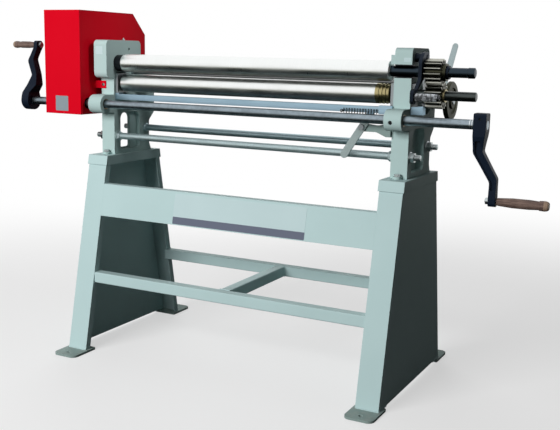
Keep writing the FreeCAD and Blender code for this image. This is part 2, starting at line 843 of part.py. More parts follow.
def roll_barrel(start, journal, grooves=()):
    """Profile points of a roll's barrel from its left end, between its journals."""
    points = [
        (start, journal),
        (start, roll_radius - roll_chamfer),
        (start + roll_chamfer, roll_radius),
    ]
    for k, radius in reversed(list(enumerate(grooves))):
        x = roll_end - wire_groove_margin - wire_groove_pitch * k
        points.append((x - radius, roll_radius))
        points.append((x - radius, roll_radius - radius, radius))
        points.append((x + radius, roll_radius - radius, radius))
        points.append((x + radius, roll_radius))
    points += [
        (roll_end - roll_chamfer, roll_radius),
        (roll_end, roll_radius - roll_chamfer),
        (roll_end, journal),
    ]
    return points


def build_top_roll():
    """Top roll: long left journal, and a right end that can leave the open head."""
    end = frame_outer + top_stub_reach
    hub_start = gear_plane + link_gear_width
    hub_end = hub_start + link_hub_length
    ring_end = hub_end + top_ring_width
    collar_start = end - stub_collar_length - stub_chamfer
    seat_start = gear_plane - latch_gear_gap / 2.0
    profile = journal_end(-frame_outer - journal_overrun, journal_radius, 1)
    profile += roll_barrel(top_roll_start, journal_radius)
    profile += [
        (seat_start, journal_radius),
        (seat_start, gear_seat_radius),
        (ring_end, gear_seat_radius),
        (ring_end, top_stub_radius),
        (collar_start, top_stub_radius),
        (collar_start + stub_collar_rise, top_stub_radius + stub_collar_rise),
        (end - stub_chamfer, top_stub_radius + stub_collar_rise),
        (end, top_stub_radius - stub_chamfer),
    ]
    save("top_roll", turned_x(profile, top_roll_y, top_roll_z))
    collar = tube_x(top_roll_y, top_roll_z, collar_radius, journal_radius,
                    seat_gap - frame_inner, top_roll_start)
    save("top_roll_collar", collar)
    gear = spur_gear(link_teeth, link_addendum, link_dedendum, link_backlash, gear_seat_radius,
                     gear_plane, link_gear_width, top_roll_y, top_roll_z, link_tooth_angle())
    hub = tube_x(top_roll_y, top_roll_z, link_hub_radius, gear_seat_radius, hub_start, hub_end)
    save("top_link_gear", joined([gear, hub]))
    save("top_gear_ring", tube_x(top_roll_y, top_roll_z, ring_radius, gear_seat_radius, hub_end, ring_end))


def build_lower_roll():
    """Lower roll with the wire grooves at its right end and a gear on each journal."""
    end = frame_outer + low_stub_reach
    ring_start = gear_plane + link_gear_width
    ring_end = ring_start + low_ring_width
    seat_start = gear_plane - latch_gear_gap / 2.0
    left_seat = drive_gear_plane + stub_chamfer
    profile = journal_end(drive_gear_plane - drive_gear_width - 2.0 * stub_chamfer, gear_seat_radius, 1)
    profile += [
        (left_seat, gear_seat_radius),
        (left_seat, journal_radius),
        (-roll_end - thrust_ring_width, journal_radius),
        (-roll_end - thrust_ring_width, thrust_ring_radius),
    ]
    profile += roll_barrel(-roll_end, thrust_ring_radius, wire_groove_radii)[:-1]
    profile += [
        (roll_end, journal_radius),
        (seat_start, journal_radius),
        (seat_start, gear_seat_radius),
        (ring_end, gear_seat_radius),
        (ring_end, low_stub_radius),
        (end - stub_chamfer, low_stub_radius),
        (end, low_stub_radius - stub_chamfer),
    ]
    save("lower_roll", turned_x(profile, low_roll_y, low_roll_z))
    space = link_tooth_angle() + math.pi + math.pi / link_teeth
    lead = 2.0 * link_lead / (gear_module * link_teeth)
    gear = spur_gear(link_teeth, link_addendum, link_dedendum, link_backlash, gear_seat_radius,
                     gear_plane, link_gear_width, low_roll_y, low_roll_z, space + lead)
    save("lower_link_gear", gear)
    save("lower_gear_ring", tube_x(low_roll_y, low_roll_z, ring_radius, gear_seat_radius, ring_start, ring_end))
    toward = math.atan2(drive_z - low_roll_z, drive_y - low_roll_y)
    turn = 2.0 * drive_lead / (gear_module * drive_gear_teeth)
    wheel = spur_gear(drive_gear_teeth, drive_gear_addendum, drive_dedendum, drive_backlash, gear_seat_radius,
                      drive_gear_plane - drive_gear_width, drive_gear_width,
                      low_roll_y, low_roll_z, toward + math.pi / drive_gear_teeth + turn)
    save("lower_drive_gear", wheel)
    pinion = spur_gear(pinion_teeth, pinion_addendum, drive_dedendum, drive_backlash, shaft_radius,
                       drive_gear_plane - drive_gear_width - pinion_margin, drive_gear_width + 2.0 * pinion_margin,
                       drive_y, drive_z, toward + math.pi)
    save("drive_pinion", pinion)


def bar_top(x, side):
    """Height of the lift bar's ramp under a bearing block, at a distance x from the middle."""
    return bar_top_z + ramp_slope * (x - side * frame_middle)


def lower_block(side):
    """Bearing block of the lower roll; its sloping foot rides on the lift bar's ramp."""
    inner = side * (frame_inner - block_flange)
    outer = side * (frame_outer - flange_gap)
    lip_end = side * (frame_inner - flange_gap)

    def wedge(a, b, half):
        x0, x1 = sorted((a, b))
        corners = [
            (x0, bar_top(x0, side) + seat_gap, 0.0),
            (x1, bar_top(x1, side) + seat_gap, 0.0),
            (x1, block_top, 0.0),
            (x0, block_top, 0.0),
        ]
        return slab_y(corners, low_roll_y - half, low_roll_y + half)

    body = wedge(inner, outer, block_half_width)
    lip = wedge(inner, lip_end, block_half_width + block_flange_lip)
    start, stop = sorted((inner, outer))
    bore = rod_x(low_roll_y, low_roll_z, journal_radius + running_fit, start - 1.0, stop + 1.0)
    return joined([body, lip]).cut(bore)


def build_rear_roll():
    """Rear bending roll in its sliding blocks."""
    end = frame_outer - 2.0 * flange_gap
    profile = journal_end(-end, journal_radius, 1) + roll_barrel(-roll_end, journal_radius)
    profile += reversed(journal_end(end, journal_radius, -1))
    save("rear_roll", turned_x(profile, rear_roll_y, rear_roll_z))


def rear_block():
    """Bearing block of the rear roll, inclined like its slot."""
    along = Vector(0, rear_rise[0], rear_rise[1])
    across = Vector(0, rear_rise[1], -rear_rise[0])
    axis = Vector(0, rear_roll_y, rear_roll_z)
    inner = frame_inner - block_flange
    outer = frame_outer - flange_gap

    def slab(half, x1):
        corners = [
            axis - along * rear_block_below - across * half,
            axis - along * rear_block_below + across * half,
            axis + along * rear_block_above + across * half,
            axis + along * rear_block_above - across * half,
        ]
        return slab_x([(c.y, c.z, slot_rounding) for c in corners], inner, x1)

    body = slab(rear_block_half_width, outer)
    lip = slab(rear_block_half_width + block_flange_lip, frame_inner - flange_gap)
    bore = rod_x(rear_roll_y, rear_roll_z, journal_radius + running_fit, inner - 1.0, outer + 1.0)
    return joined([body, lip]).cut(bore)


def build_blocks():
    """Bearing blocks of the lower and rear rolls."""
    save("lower_bearing_blocks", [lower_block(1), lower_block(-1)])
    right = rear_block()
    save("rear_bearing_blocks", [right, mirrored(right)])


# ---- drive ----------------------------------------------------------------------------------------
def crank_blank(inner, outer, depths, radius, hub_width):
    """Dogleg arm hanging from its hub at the origin: side view times front view."""
    bottom = radius + crank_eye_radius
    top = crank_hub_half_height
    reach = 2.0 * crank_hub_half_height
    side_view = [(0.0, top, cap_rounding)]
    side_view += [(x, -s, r) for x, s, r in inner]
    side_view += [(inner[-1][0], -bottom - 1.0, 0.0), (outer[-1][0], -bottom - 1.0, 0.0)]
    side_view += [(x, -s, r) for x, s, r in reversed(outer)]
    side_view += [(hub_width, top, cap_rounding)]
    rounding = crank_eye_radius - 1.0
    flank = [(depths[0][0], top, crank_hub_rounding)]
    flank += [(depth, -s, r) for depth, s, r in depths]
    flank += [(crank_eye_radius, -radius + crank_eye_radius / 2.0, rounding)]
    flank += [(crank_eye_radius, -bottom, rounding)]
    front_view = flank + [(-depth, s, r) for depth, s, r in reversed(flank)]
    arm = slab_y(side_view, -reach, reach).common(slab_x(front_view, -reach, 2.0 * reach))
    return arm


def arm_groove(inner, outer, radius):
    """Outline of the hollow in an arm's face, set in from the arm's edges."""
    stop = -(radius - arm_groove_stop)
    corners = [(inner[1][0] + arm_flange, -arm_groove_start, stub_chamfer)]
    corners += [(x + arm_flange, -s, r) for x, s, r in inner[1:]]
    corners += [(inner[-1][0] + arm_flange, stop, stub_chamfer), (outer[-1][0] - arm_flange, stop, stub_chamfer)]
    corners += [(x - arm_flange, -s, r) for x, s, r in reversed(outer[1:])]
    corners.append((outer[1][0] - arm_flange, -arm_groove_start, stub_chamfer))
    return corners


def right_crank():
    """Square-hubbed crank whose arm has a hollow in its front and rear faces."""
    blank = crank_blank(right_arm_inner, right_arm_outer, right_arm_depths, crank_radius, crank_hub_width)
    groove = arm_groove(right_arm_inner, right_arm_outer, crank_radius)
    deep = 2.0 * crank_hub_half_height
    cuts = [
        slab_y(groove, arm_groove_floor, deep),
        slab_y(groove, -deep, -arm_groove_floor),
        rod_x(0, 0, shaft_radius, -1.0, crank_hub_width + 1.0),
        rod_x(0, -crank_radius, spindle_radius, 0.0, deep * 2.0),
        rod_y(crank_hub_width / 2.0, crank_screw_rise, crank_screw_radius, -deep, 0.0),
    ]
    return blank.cut(cuts)


def left_crank():
    """Round-hubbed crank with an S-shaped arm."""
    blank = crank_blank(left_arm_inner, left_arm_outer, left_arm_depths, left_crank_radius, left_hub_width)
    deep = 2.0 * crank_hub_half_height
    top = block(-1.0, deep, -deep, deep, 0.0, deep)
    hub = rod_x(0, 0, crank_hub_half_height, 0.0, left_hub_width)
    cuts = [
        rod_x(0, 0, shaft_radius, -1.0, left_hub_width + 1.0),
        rod_x(0, -left_crank_radius, spindle_radius, 0.0, deep * 2.0),
    ]
    return joined([blank.cut(top), hub]).cut(cuts)


def spindle(tail, length):
    """Headed spindle along +X from the tail behind a crank's eye to the grip's counterbore."""
    head_end = length - spindle_head_gap
    head_start = head_end - spindle_head_length
    return joined([
        rod_x(0, 0, spindle_radius, tail, head_start + 1.0),
        rod_x(0, 0, spindle_radius + spindle_head_rise, head_start, head_end),
    ])


def grip(radius, length):
    """Turned wooden grip along +X from the origin, bored for its spindle and the spindle's head."""
    neck = length - 2.0 * radius
    profile = [
        (0.0, radius * 0.72),
        (radius * 0.2, radius * 0.8),
        (length * 0.3, radius),
        (length * 0.62, radius),
        (neck, radius * 0.88),
        (neck + radius * 0.2, radius),
        (length - radius * 0.8, radius * 1.05),
        (length - radius * 0.27, radius * 0.94),
        (length, radius * 0.7),
    ]
    head = spindle_radius + spindle_head_rise + spindle_head_gap
    floor = length - 2.0 * spindle_head_gap - spindle_head_length
    bores = [
        rod_x(0, 0, spindle_radius + grip_bore_gap, -1.0, length + 1.0),
        rod_x(0, 0, head, floor, length + 1.0),
    ]
    return turned_x(profile, 0, 0).cut(bores)


def handle_set(radius, grip_radius, length, eye, nut_height, turn, hub):
    """Spindle, nut and grip of one crank; eye holds the faces of the eye, grip side last."""
    away = 1.0 if eye[1] > eye[0] else -1.0
    start = eye[1] + away * grip_gap

    def placed(shape, x):
        if away < 0.0:
            shape = mirrored(shape)
        shape = shape.translate(Vector(x, 0, -radius))
        shape.rotate(Vector(0, 0, 0), Vector(1, 0, 0), turn)
        return shape.translate(hub)

    tail = -abs(start - eye[0]) - spindle_tail
    nut = hex_x(0, 0, grip_nut_flats, -nut_height, 0.0)
    nut = nut.cut(rod_x(0, 0, spindle_radius, -nut_height - 1.0, 1.0))
    return (
        placed(spindle(tail, length), start),
        placed(nut, eye[0]),
        placed(grip(grip_radius, length), start),
    )


def build_drive():
    """Drive shaft, both cranks and their turning grips."""
    shaft = turned_x([
        (shaft_left_end, shaft_radius - shaft_chamfer),
        (shaft_left_end + shaft_chamfer, shaft_radius),
        (shaft_right_end - shaft_chamfer, shaft_radius),
        (shaft_right_end, shaft_radius - shaft_chamfer),
    ], drive_y, drive_z)
    save("drive_shaft", shaft)
    right_hub = Vector(shaft_right_end - crank_hub_width, drive_y, drive_z)
    left_hub = Vector(shaft_left_end, drive_y, drive_z)
    save("right_crank", right_crank().translate(right_hub))
    save("left_crank", left_crank().rotate(Vector(0, 0, 0), Vector(1, 0, 0), 180).translate(left_hub))
    right_eye = (right_arm_inner[-1][0], right_arm_outer[-1][0])
    left_eye = (left_arm_outer[-1][0], left_arm_inner[-1][0])
    right = handle_set(crank_radius, right_grip_radius, right_grip_length, right_eye, grip_nut_height, 0, right_hub)
    left = handle_set(left_crank_radius, left_grip_radius, left_grip_length, left_eye, grip_nut_height, 180, left_hub)
    save("grip_spindles", [right[0], left[0]])
    save("grip_nuts", [right[1], left[1]])
    save("right_grip", right[2])
    save("left_grip", left[2])


# ---- lower roll lift ------------------------------------------------------------------------------
def lift_bar():
    """Flat bar with a ramp under each lower bearing block and a lug for the hand lever."""
    left_end = -frame_outer + bar_left_inset
    right_end = frame_outer + bar_outboard
    left_ramp_end = -frame_inner + bar_ramp_overrun
    right_ramp_start = frame_inner - bar_ramp_overrun
    drop = stub_chamfer
    profile = [
        (left_end, bar_base, 0.0),
        (right_end, bar_base, 0.0),
        (right_end, bar_top(right_end, 1), drop),
        (right_ramp_start, bar_top(right_ramp_start, 1), 0.0),
        (right_ramp_start - drop, bar_top_z, 0.0),
        (left_ramp_end + drop, bar_top_z, 0.0),
        (left_ramp_end, bar_top(left_ramp_end, -1), 0.0),
        (left_end, bar_top(left_end, -1), 0.0),
    ]
    bar = slab_y(profile, bar_front, bar_front + bar_depth)
    pin_x, pin_z = lever_pin
    foot = pin_z - bar_lug_half + 2.0
    lug_profile = [
        (pin_x - bar_lug_half, bar_base + 1.0, 0.0),
        (pin_x + bar_lug_half, bar_base + 1.0, 0.0),
        (pin_x + bar_lug_half - 2.0, foot, bar_lug_half - 3.0),
        (pin_x - bar_lug_half + 2.0, foot, bar_lug_half - 3.0),
    ]
    lug = slab_y(lug_profile, bar_front, bar_front + bar_lug_depth)
    return joined([bar, lug])


def lift_pins():
    """Lever pin on the bar's lug and the pin that pulls the spring."""
    hook_x = spring_left - spring_pin_radius - 1.0
    far = lever_front - 2.0
    return [
        rod_y(lever_pin[0], lever_pin[1], lever_pin_radius, far, bar_front),
        rod_y(hook_x, spring_z, spring_pin_radius, bar_front - guide_depth, bar_front),
    ]


def lift_lever():
    """Flat hand lever; its slotted upper end straddles the bar's pin."""
    half = lever_width / 2.0
    slot_half = lever_pin_radius + lever_slot_gap
    body_profile = [
        (-half, lever_head_length, half / 2.0),
        (half, lever_head_length, half / 2.0),
        (half, -lever_length, half - 0.5),
        (-half, -lever_length, half - 0.5),
    ]
    body = slab_y(body_profile, 0.0, lever_plate)
    slot = block(-slot_half, slot_half, -1.0, lever_plate + 1.0, lever_slot_start, lever_head_length + 1.0)
    pivot = rod_y(0, 0, pivot_bolt_radius + running_fit, -1.0, lever_plate + 1.0)
    lever = body.cut([slot, pivot])
    lever.rotate(Vector(0, 0, 0), Vector(0, 1, 0), math.degrees(lever_rest_tilt))
    return lever.translate(Vector(lever_pivot[0], lever_front, lever_pivot[1]))


def lever_bracket():
    """Curved arm from the right casting that carries the hand lever's pivot."""
    x, z = lever_pivot
    top = z + bracket_eye_half
    foot = top - bracket_foot
    profile = [
        (frame_inner, top, 0.0),
        (frame_inner, foot, 0.0),
        (frame_inner - lever_back / 6.0, foot, bracket_eye_half / 2.0),
        (frame_inner - lever_back / 2.0, z - bracket_eye_half, 2.0 * bracket_eye_half),
        (x - bracket_eye_half, z - bracket_eye_half, bracket_eye_half - 1.0),
        (x - bracket_eye_half, z + bracket_eye_half - 1.0, bracket_eye_half - 1.0),
        (frame_inner - lever_back / 2.0, z + bracket_eye_half / 2.0, 2.0 * bracket_eye_half),
        (frame_inner - lever_back / 6.0, top, bracket_eye_half / 2.0),
    ]
    arm = slab_y(profile, lever_front + lever_plate + 1.0, bar_front - 1.0)
    return arm.cut(rod_y(x, z, pivot_bolt_radius, lever_front, bar_front))


def pivot_bolt():
    """Shouldered bolt of the hand lever."""
    x, z = lever_pivot
    shank = rod_y(x, z, pivot_bolt_radius, lever_front - 1.0, bar_front - 1.0)
    head_depth = 1.3 * pivot_bolt_radius
    head = slab_y(hex_corners(x, z, 3.0 * pivot_bolt_radius), lever_front - head_depth, lever_front - 0.5)
    return joined([shank, head])


def return_spring():
    """Extension spring between the bar's pin and the guide block on the casting."""
    length = spring_right - spring_left - spring_hook_room
    helix = Part.makeHelix(length / spring_turns, length, spring_radius)
    start = Vector(spring_radius, 0, 0)
    steps = ((1, 0), (0, 1), (-1, 0), (0, -1), (1, 0))
    ring = Part.makePolygon([start + Vector(a, 0, b) * spring_wire for a, b in steps])
    coil = Part.Wire(helix).makePipeShell([ring], True, True)
    coil.rotate(Vector(0, 0, 0), Vector(0, 1, 0), 90)
    return coil.translate(Vector(spring_left, bar_front - guide_depth / 2.0 - 2.0, spring_z))


def build_lift():
    """Everything that raises the lower roll."""
    save("lift_bar", lift_bar())
    save("lift_bar_pins", lift_pins())
    save("lift_lever", lift_lever())
    save("lever_bracket", lever_bracket())
    save("lever_pivot_bolt", pivot_bolt())
    save("return_spring", return_spring())
    guide = block(spring_right, frame_inner, bar_front - guide_depth, bar_front - seat_gap,
                  bar_base - 2.0, bar_top_z + guide_rise)
    save("bar_guide_block", guide)


# ---- rear roll adjustment -------------------------------------------------------------------------
def build_rear_adjuster():
    """Cam shaft across the machine, its cams, the indexing disc and the hand lever."""
    y, z = cam_axis
    left_end = -frame_outer + 2.0 * stub_chamfer
    right_end = disc_outer + 2.0 * stub_chamfer
    profile = journal_end(left_end, cam_shaft_radius, 1) + journal_end(right_end, cam_shaft_radius, -1)[::-1]
    save("cam_shaft", turned_x(profile, y, z))
    offset = rear_tilt - cam_half_turn
    cam_y = y + cam_throw * math.cos(offset)
    cam_z = z + cam_throw * math.sin(offset)
    cam_start = frame_inner + cam_inset
    cam = rod_x(cam_y, cam_z, cam_radius, cam_start, cam_start + cam_width)
    cam = cam.cut(rod_x(y, z, cam_shaft_radius, cam_start - 1.0, cam_start + cam_width + 1.0))
    save("lift_cams", [cam, mirrored(cam)])
    disc_start = disc_outer - disc_width
    disc = turned_x([
        (disc_start, rear_disc_radius - disc_chamfer),
        (disc_start + disc_chamfer, rear_disc_radius),
        (disc_outer - disc_chamfer, rear_disc_radius),
        (disc_outer, rear_disc_radius - disc_chamfer),
        (disc_outer, rear_disc_radius - disc_rim),
        (disc_outer - disc_dish, rear_disc_radius - disc_rim - 2.0),
        (disc_outer - disc_dish, rear_hub_radius + 2.0),
        (disc_outer + disc_dish / 2.0, rear_hub_radius),
    ], y, z)
    save("rear_index_disc", disc.cut(rod_x(y, z, cam_shaft_radius, disc_start - 1.0, disc_outer + disc_dish)))
    hub = tube_x(y, z, rear_hub_radius, cam_shaft_radius, rear_lever_hub, rear_lever_hub + rear_hub_width)
    middle = rear_lever_hub + rear_hub_width / 2.0
    thick = rear_lever_radius
    arm = turned_x([
        (0.0, thick * 0.81),
        (rear_lever_reach * 0.45, thick * 0.86),
        (rear_lever_reach * 0.62, thick * 1.02),
        (rear_lever_reach - thick * 0.9, thick * 0.97),
        (rear_lever_reach - thick * 0.3, thick * 0.7),
        (rear_lever_reach, thick * 0.2),
    ], 0, 0)
    arm.rotate(Vector(0, 0, 0), Vector(0, 1, 0), -90)
    arm.rotate(Vector(0, 0, 0), Vector(1, 0, 0), -math.degrees(rear_lever_tilt))
    arm.translate(Vector(middle, y, z))
    bore = rod_x(y, z, cam_shaft_radius, middle - rear_hub_width, middle + rear_hub_width)
    save("rear_lever", joined([hub, arm.cut(bore)]))


# ---- latch of the top roll ------------------------------------------------------------------------
def build_latch():
    """Curved arm that closes the open head in front of the top roll's journal, with its handle."""
    py, pz = latch_pivot
    gy, gz = latch_grip
    corners = [(top_roll_y + a, top_roll_z + b, r) for a, b, r in latch_arm_points]
    journal = rod_x(top_roll_y, top_roll_z, journal_radius + latch_clearance, latch_start - 1.0, latch_stop + 1.0)
    plate = slab_x(corners, latch_start, latch_stop).cut(journal)
    boss = rod_x(py, pz, latch_boss_radius, frame_outer + seat_gap, latch_start + 1.0)
    bore = rod_x(py, pz, latch_pin_radius + running_fit, frame_outer - 1.0, latch_stop + 1.0)
    save("latch_arm", joined([plate, boss]).cut(bore))
    pin = joined([
        rod_x(py, pz, latch_pin_radius, frame_middle, latch_stop + seat_gap),
        rod_x(py, pz, latch_pin_radius + 2.0 * latch_pin_head, latch_stop + seat_gap,
              latch_stop + seat_gap + latch_pin_head),
    ])
    save("latch_pivot_pin", pin)
    end = latch_stop + latch_handle_length
    thick = latch_handle_radius
    handle = turned_x([
        (latch_stop, thick * 0.85),
        (latch_stop + latch_handle_length * 0.55, thick * 0.96),
        (end - thick * 0.6, thick),
        (end - thick * 0.15, thick * 0.85),
        (end, thick * 0.55),
    ], gy, gz)
    save("latch_handle", handle)


# ---- gear cover -------------------------------------------------------------------------------------
def cover_corners(inset):
    """Outline of the cover, set in by the given distance."""
    diagonal = inset * math.tan(math.pi / 8.0)
    return [
        (cover_front + inset, cover_base + inset, cover_fold),
        (cover_rear - inset, cover_base + inset, cover_fold),
        (cover_rear - inset, cover_top - cover_chamfer - diagonal, cover_fold),
        (cover_rear - cover_chamfer - diagonal, cover_top - inset, cover_fold),
        (cover_front + inset, cover_top - inset, cover_fold),
    ]


def build_cover():
    """Sheet cover over the left gears, its back plate, tabs and screws."""
    outside = slab_x(cover_corners(0.0), -cover_outer, -cover_inner)
    hollow = slab_x(cover_corners(cover_sheet), -cover_outer + cover_sheet, -cover_inner + 1.0)
    shaft_hole = rod_x(drive_y, drive_z, shaft_radius + cover_hole_gap, -cover_outer - 1.0, -cover_inner)
    save("gear_cover", outside.cut([hollow, shaft_hole]))
    plate_start = -cover_inner - cover_sheet
    plate = slab_x(cover_corners(cover_sheet + seat_gap), plate_start, -cover_inner)
    holes = [
        rod_x(y, z, radius + 2.0 * cover_hole_gap, plate_start - 1.0, 1.0 - cover_inner)
        for y, z, radius in (
            (drive_y, drive_z, shaft_radius),
            (top_roll_y, top_roll_z, journal_radius),
            (low_roll_y, low_roll_z, journal_radius),
        )
    ]
    tab_end = -frame_outer + tab_reach
    screw_x = -frame_outer + tab_reach / 2.0
    front_z = overhang_base - tab_drop
    rear_z = overhang_base - rear_tab_drop
    half = tab_height / 2.0
    front_face = frame_front - tab_sheet
    rear_face = frame_shoulder_rear + tab_sheet
    front_tab = joined([
        block(-cover_inner, tab_end, front_face, frame_front, front_z - half, front_z + half),
        block(plate_start, -cover_inner, front_face, frame_front + half, front_z - half, front_z + half),
    ])
    rear_tab = block(plate_start, tab_end, frame_shoulder_rear, rear_face, rear_z - half, rear_z + half)
    front_hole = rod_y(screw_x, front_z, screw_radius, front_face - 1.0, frame_front + 1.0)
    rear_hole = rod_y(screw_x, rear_z, screw_radius, frame_shoulder_rear - 1.0, rear_face + 1.0)
    save("cover_back_plate", joined([plate.cut(holes), front_tab, rear_tab]).cut([front_hole, rear_hole]))
    front_screw = joined([
        rod_y(screw_x, front_z, screw_radius, front_face, frame_front),
        rod_y(screw_x, front_z, screw_head_radius, front_face - screw_head, front_face),
    ])
    rear_screw = joined([
        rod_y(screw_x, rear_z, screw_radius, frame_shoulder_rear, rear_face),
        rod_y(screw_x, rear_z, screw_head_radius, rear_face, rear_face + screw_head),
    ])
    save("cover_screws", [front_screw, rear_screw])


build_stand()
build_frames()
build_ties()
build_top_roll()
build_lower_roll()
build_rear_roll()
build_blocks()
build_drive()
build_lift()
build_rear_adjuster()
build_latch()
build_cover()
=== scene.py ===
"""Hand-cranked slip roll on a folded steel stand: its finishes, small fittings, light and camera."""
import logging
import math
from dataclasses import dataclass
from enum import Enum
from typing import Callable, Iterable, Sequence

import bmesh
import bpy
from mathutils import Matrix, Vector


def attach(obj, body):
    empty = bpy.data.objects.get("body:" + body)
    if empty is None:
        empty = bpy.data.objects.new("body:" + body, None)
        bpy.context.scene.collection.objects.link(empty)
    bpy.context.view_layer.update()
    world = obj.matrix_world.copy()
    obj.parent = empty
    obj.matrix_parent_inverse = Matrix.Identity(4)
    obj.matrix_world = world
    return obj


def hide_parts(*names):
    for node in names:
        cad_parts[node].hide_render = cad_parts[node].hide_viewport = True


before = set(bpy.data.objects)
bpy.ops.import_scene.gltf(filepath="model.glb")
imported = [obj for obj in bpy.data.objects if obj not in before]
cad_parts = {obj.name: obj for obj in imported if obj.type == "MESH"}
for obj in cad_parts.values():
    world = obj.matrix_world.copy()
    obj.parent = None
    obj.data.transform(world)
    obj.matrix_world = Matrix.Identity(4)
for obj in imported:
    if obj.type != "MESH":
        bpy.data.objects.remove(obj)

LOG = logging.getLogger("slip_roll")
MM = 0.001
FULL_TURN = 2.0 * math.pi
Colour = tuple[float, float, float]
Point = tuple[float, float, float]
Plug = bpy.types.NodeSocket


class Grain(Enum):
    """Direction of the tool marks on a machined surface, as stretch along X, Y and Z."""

    AROUND_X = (900.0, 14.0, 14.0)
    ALONG_X = (9.0, 520.0, 520.0)
    EVEN = (260.0, 260.0, 260.0)


class Kind(Enum):
    """What a socket of a node group carries."""

    NUMBER = "NodeSocketFloat"
    COLOUR = "NodeSocketColor"
    VECTOR = "NodeSocketVector"


class Side(Enum):
    """End of the machine, as the sign of its X."""

    LEFT = -1.0
    RIGHT = 1.0


class Axis(Enum):
    """Axis about which a piece is turned."""

    X = 0
    Y = 1
    Z = 2

    def offset(self, along: float, first: float, second: float) -> Vector:
        """Offset from a point on the axis.

        Args:
            along: distance along the axis.
            first: distance along the first of the other two axes.
            second: distance along the second of them.

        Returns:
            The offset.
        """
        parts = [first, second]
        parts.insert(self.value, along)
        return Vector(parts)


# ---- shader nodes -------------------------------------------------------------------------
class Wiring:
    """Adds and links the nodes of one node tree."""

    def __init__(self, tree: bpy.types.NodeTree) -> None:
        """Take the node tree."""
        self.tree = tree

    def add(self, kind: str, **settings: object) -> bpy.types.Node:
        """Add a node and set its attributes.

        Args:
            kind: Blender's type name of the node.
            settings: attributes to set on it.

        Returns:
            The new node.
        """
        node = self.tree.nodes.new(kind)
        for key, value in settings.items():
            setattr(node, key, value)
        return node

    def feed(self, target: Plug, value: Plug | Colour | float) -> None:
        """Link an output to an input, or set the input to a constant.

        Args:
            target: the input.
            value: the output, colour, vector or number that it takes.
        """
        if isinstance(value, bpy.types.NodeSocket):
            self.tree.links.new(value, target)
        elif target.type == "RGBA":
            target.default_value = (*value, 1.0)
        else:
            target.default_value = value

    def result(self, kind: str, output: str | int, inputs: dict[str | int, Plug | Colour | float],
               **settings: object) -> Plug:
        """Add a node, feed its inputs and give one of its outputs.

        Args:
            kind: Blender's type name of the node.
            output: name or index of the output.
            inputs: what its inputs take, by name or index.
            settings: attributes to set on it.

        Returns:
            The output.
        """
        node = self.add(kind, **settings)
        for label, value in inputs.items():
            self.feed(node.inputs[label], value)
        return node.outputs[output]

    def combine(self, operation: str, first: Plug | float, second: Plug | float = 0.0) -> Plug:
        """Result of a named operation on two values."""
        inputs = {0: first, 1: second}
        return self.result("ShaderNodeMath", "Value", inputs, operation=operation)

    def times(self, first: Plug | float, second: Plug | float) -> Plug:
        """Product of two values."""
        return self.combine("MULTIPLY", first, second)

    def plus(self, first: Plug | float, second: Plug | float) -> Plug:
        """Sum of two values."""
        return self.combine("ADD", first, second)

    def vector(self, operation: str, first: Plug, second: Plug | Point = (0.0, 0.0, 0.0)) -> Plug:
        """Result of a named operation on two vectors, a number for LENGTH and DOT_PRODUCT."""
        output = "Value" if operation in ("LENGTH", "DOT_PRODUCT") else "Vector"
        return self.result("ShaderNodeVectorMath", output, {0: first, 1: second},
                           operation=operation)

    def part(self, vector: Plug, letter: str) -> Plug:
        """Part of a vector along X, Y or Z."""
        return self.result("ShaderNodeSeparateXYZ", letter, {"Vector": vector})

    def noise(self, vector: Plug, scale: Plug | float, detail: float = 3.0) -> Plug:
        """Noise of a scale and a number of octaves, read at a vector."""
        return self.result("ShaderNodeTexNoise", "Fac",
                           {"Vector": vector, "Scale": scale, "Detail": detail})

    def ramp(self, value: Plug, low: Plug | float, high: Plug | float, out_low: float = 0.0,
             out_high: float = 1.0, smooth: bool = True) -> Plug:
        """Remap a value.

        Args:
            value: the value to remap.
            low: input at the start.
            high: input at the end.
            out_low: output at the start.
            out_high: output at the end.
            smooth: eases both ends when true.

        Returns:
            The remapped value.
        """
        inputs = {"Value": value, "From Min": low, "From Max": high,
                  "To Min": out_low, "To Max": out_high}
        easing = "SMOOTHSTEP" if smooth else "LINEAR"
        return self.result("ShaderNodeMapRange", "Result", inputs, interpolation_type=easing)

    def mix(self, factor: Plug, under: Plug | Colour, over: Plug | Colour) -> Plug:
        """Lay a colour over another as far as a factor says."""
        return self.result("ShaderNodeMix", 2, {0: factor, 6: under, 7: over}, data_type="RGBA")

    def darken(self, colour: Plug, level: float, saturation: float = 1.0) -> Plug:
        """Keep a share of a colour's brightness, the level, and a share of its saturation."""
        inputs = {"Color": colour, "Value": level, "Saturation": saturation}
        return self.result("ShaderNodeHueSaturation", "Color", inputs)

    def own_place(self) -> Plug:
        """Place on the object, in its own coordinates."""
        return self.add("ShaderNodeTexCoord").outputs["Object"]

    def show(self, shader: Plug) -> None:
        """Feed a shader to a new material output."""
        self.feed(self.add("ShaderNodeOutputMaterial").inputs["Surface"], shader)


class EffectGroup(Wiring):
    """A shader node group with named sockets, built once and shared by the finishes."""

    def __init__(self, name: str, inputs: dict[str, Kind], outputs: dict[str, Kind]) -> None:
        """Make the empty group.

        Args:
            name: name of the node group.
            inputs: kinds of its inputs, by name.
            outputs: kinds of its outputs, by name.
        """
        super().__init__(bpy.data.node_groups.new(name, "ShaderNodeTree"))
        for direction, kinds in (("INPUT", inputs), ("OUTPUT", outputs)):
            for label, kind in kinds.items():
                self.tree.interface.new_socket(name=label, in_out=direction, socket_type=kind.value)
        self.given = self.add("NodeGroupInput").outputs
        self.wanted = self.add("NodeGroupOutput").inputs

    def close(self, **results: Plug) -> bpy.types.NodeTree:
        """Feed the group's outputs.

        Args:
            results: what each output gives, by name.

        Returns:
            The finished node group.
        """
        for label, result in results.items():
            self.feed(self.wanted[label], result)
        return self.tree


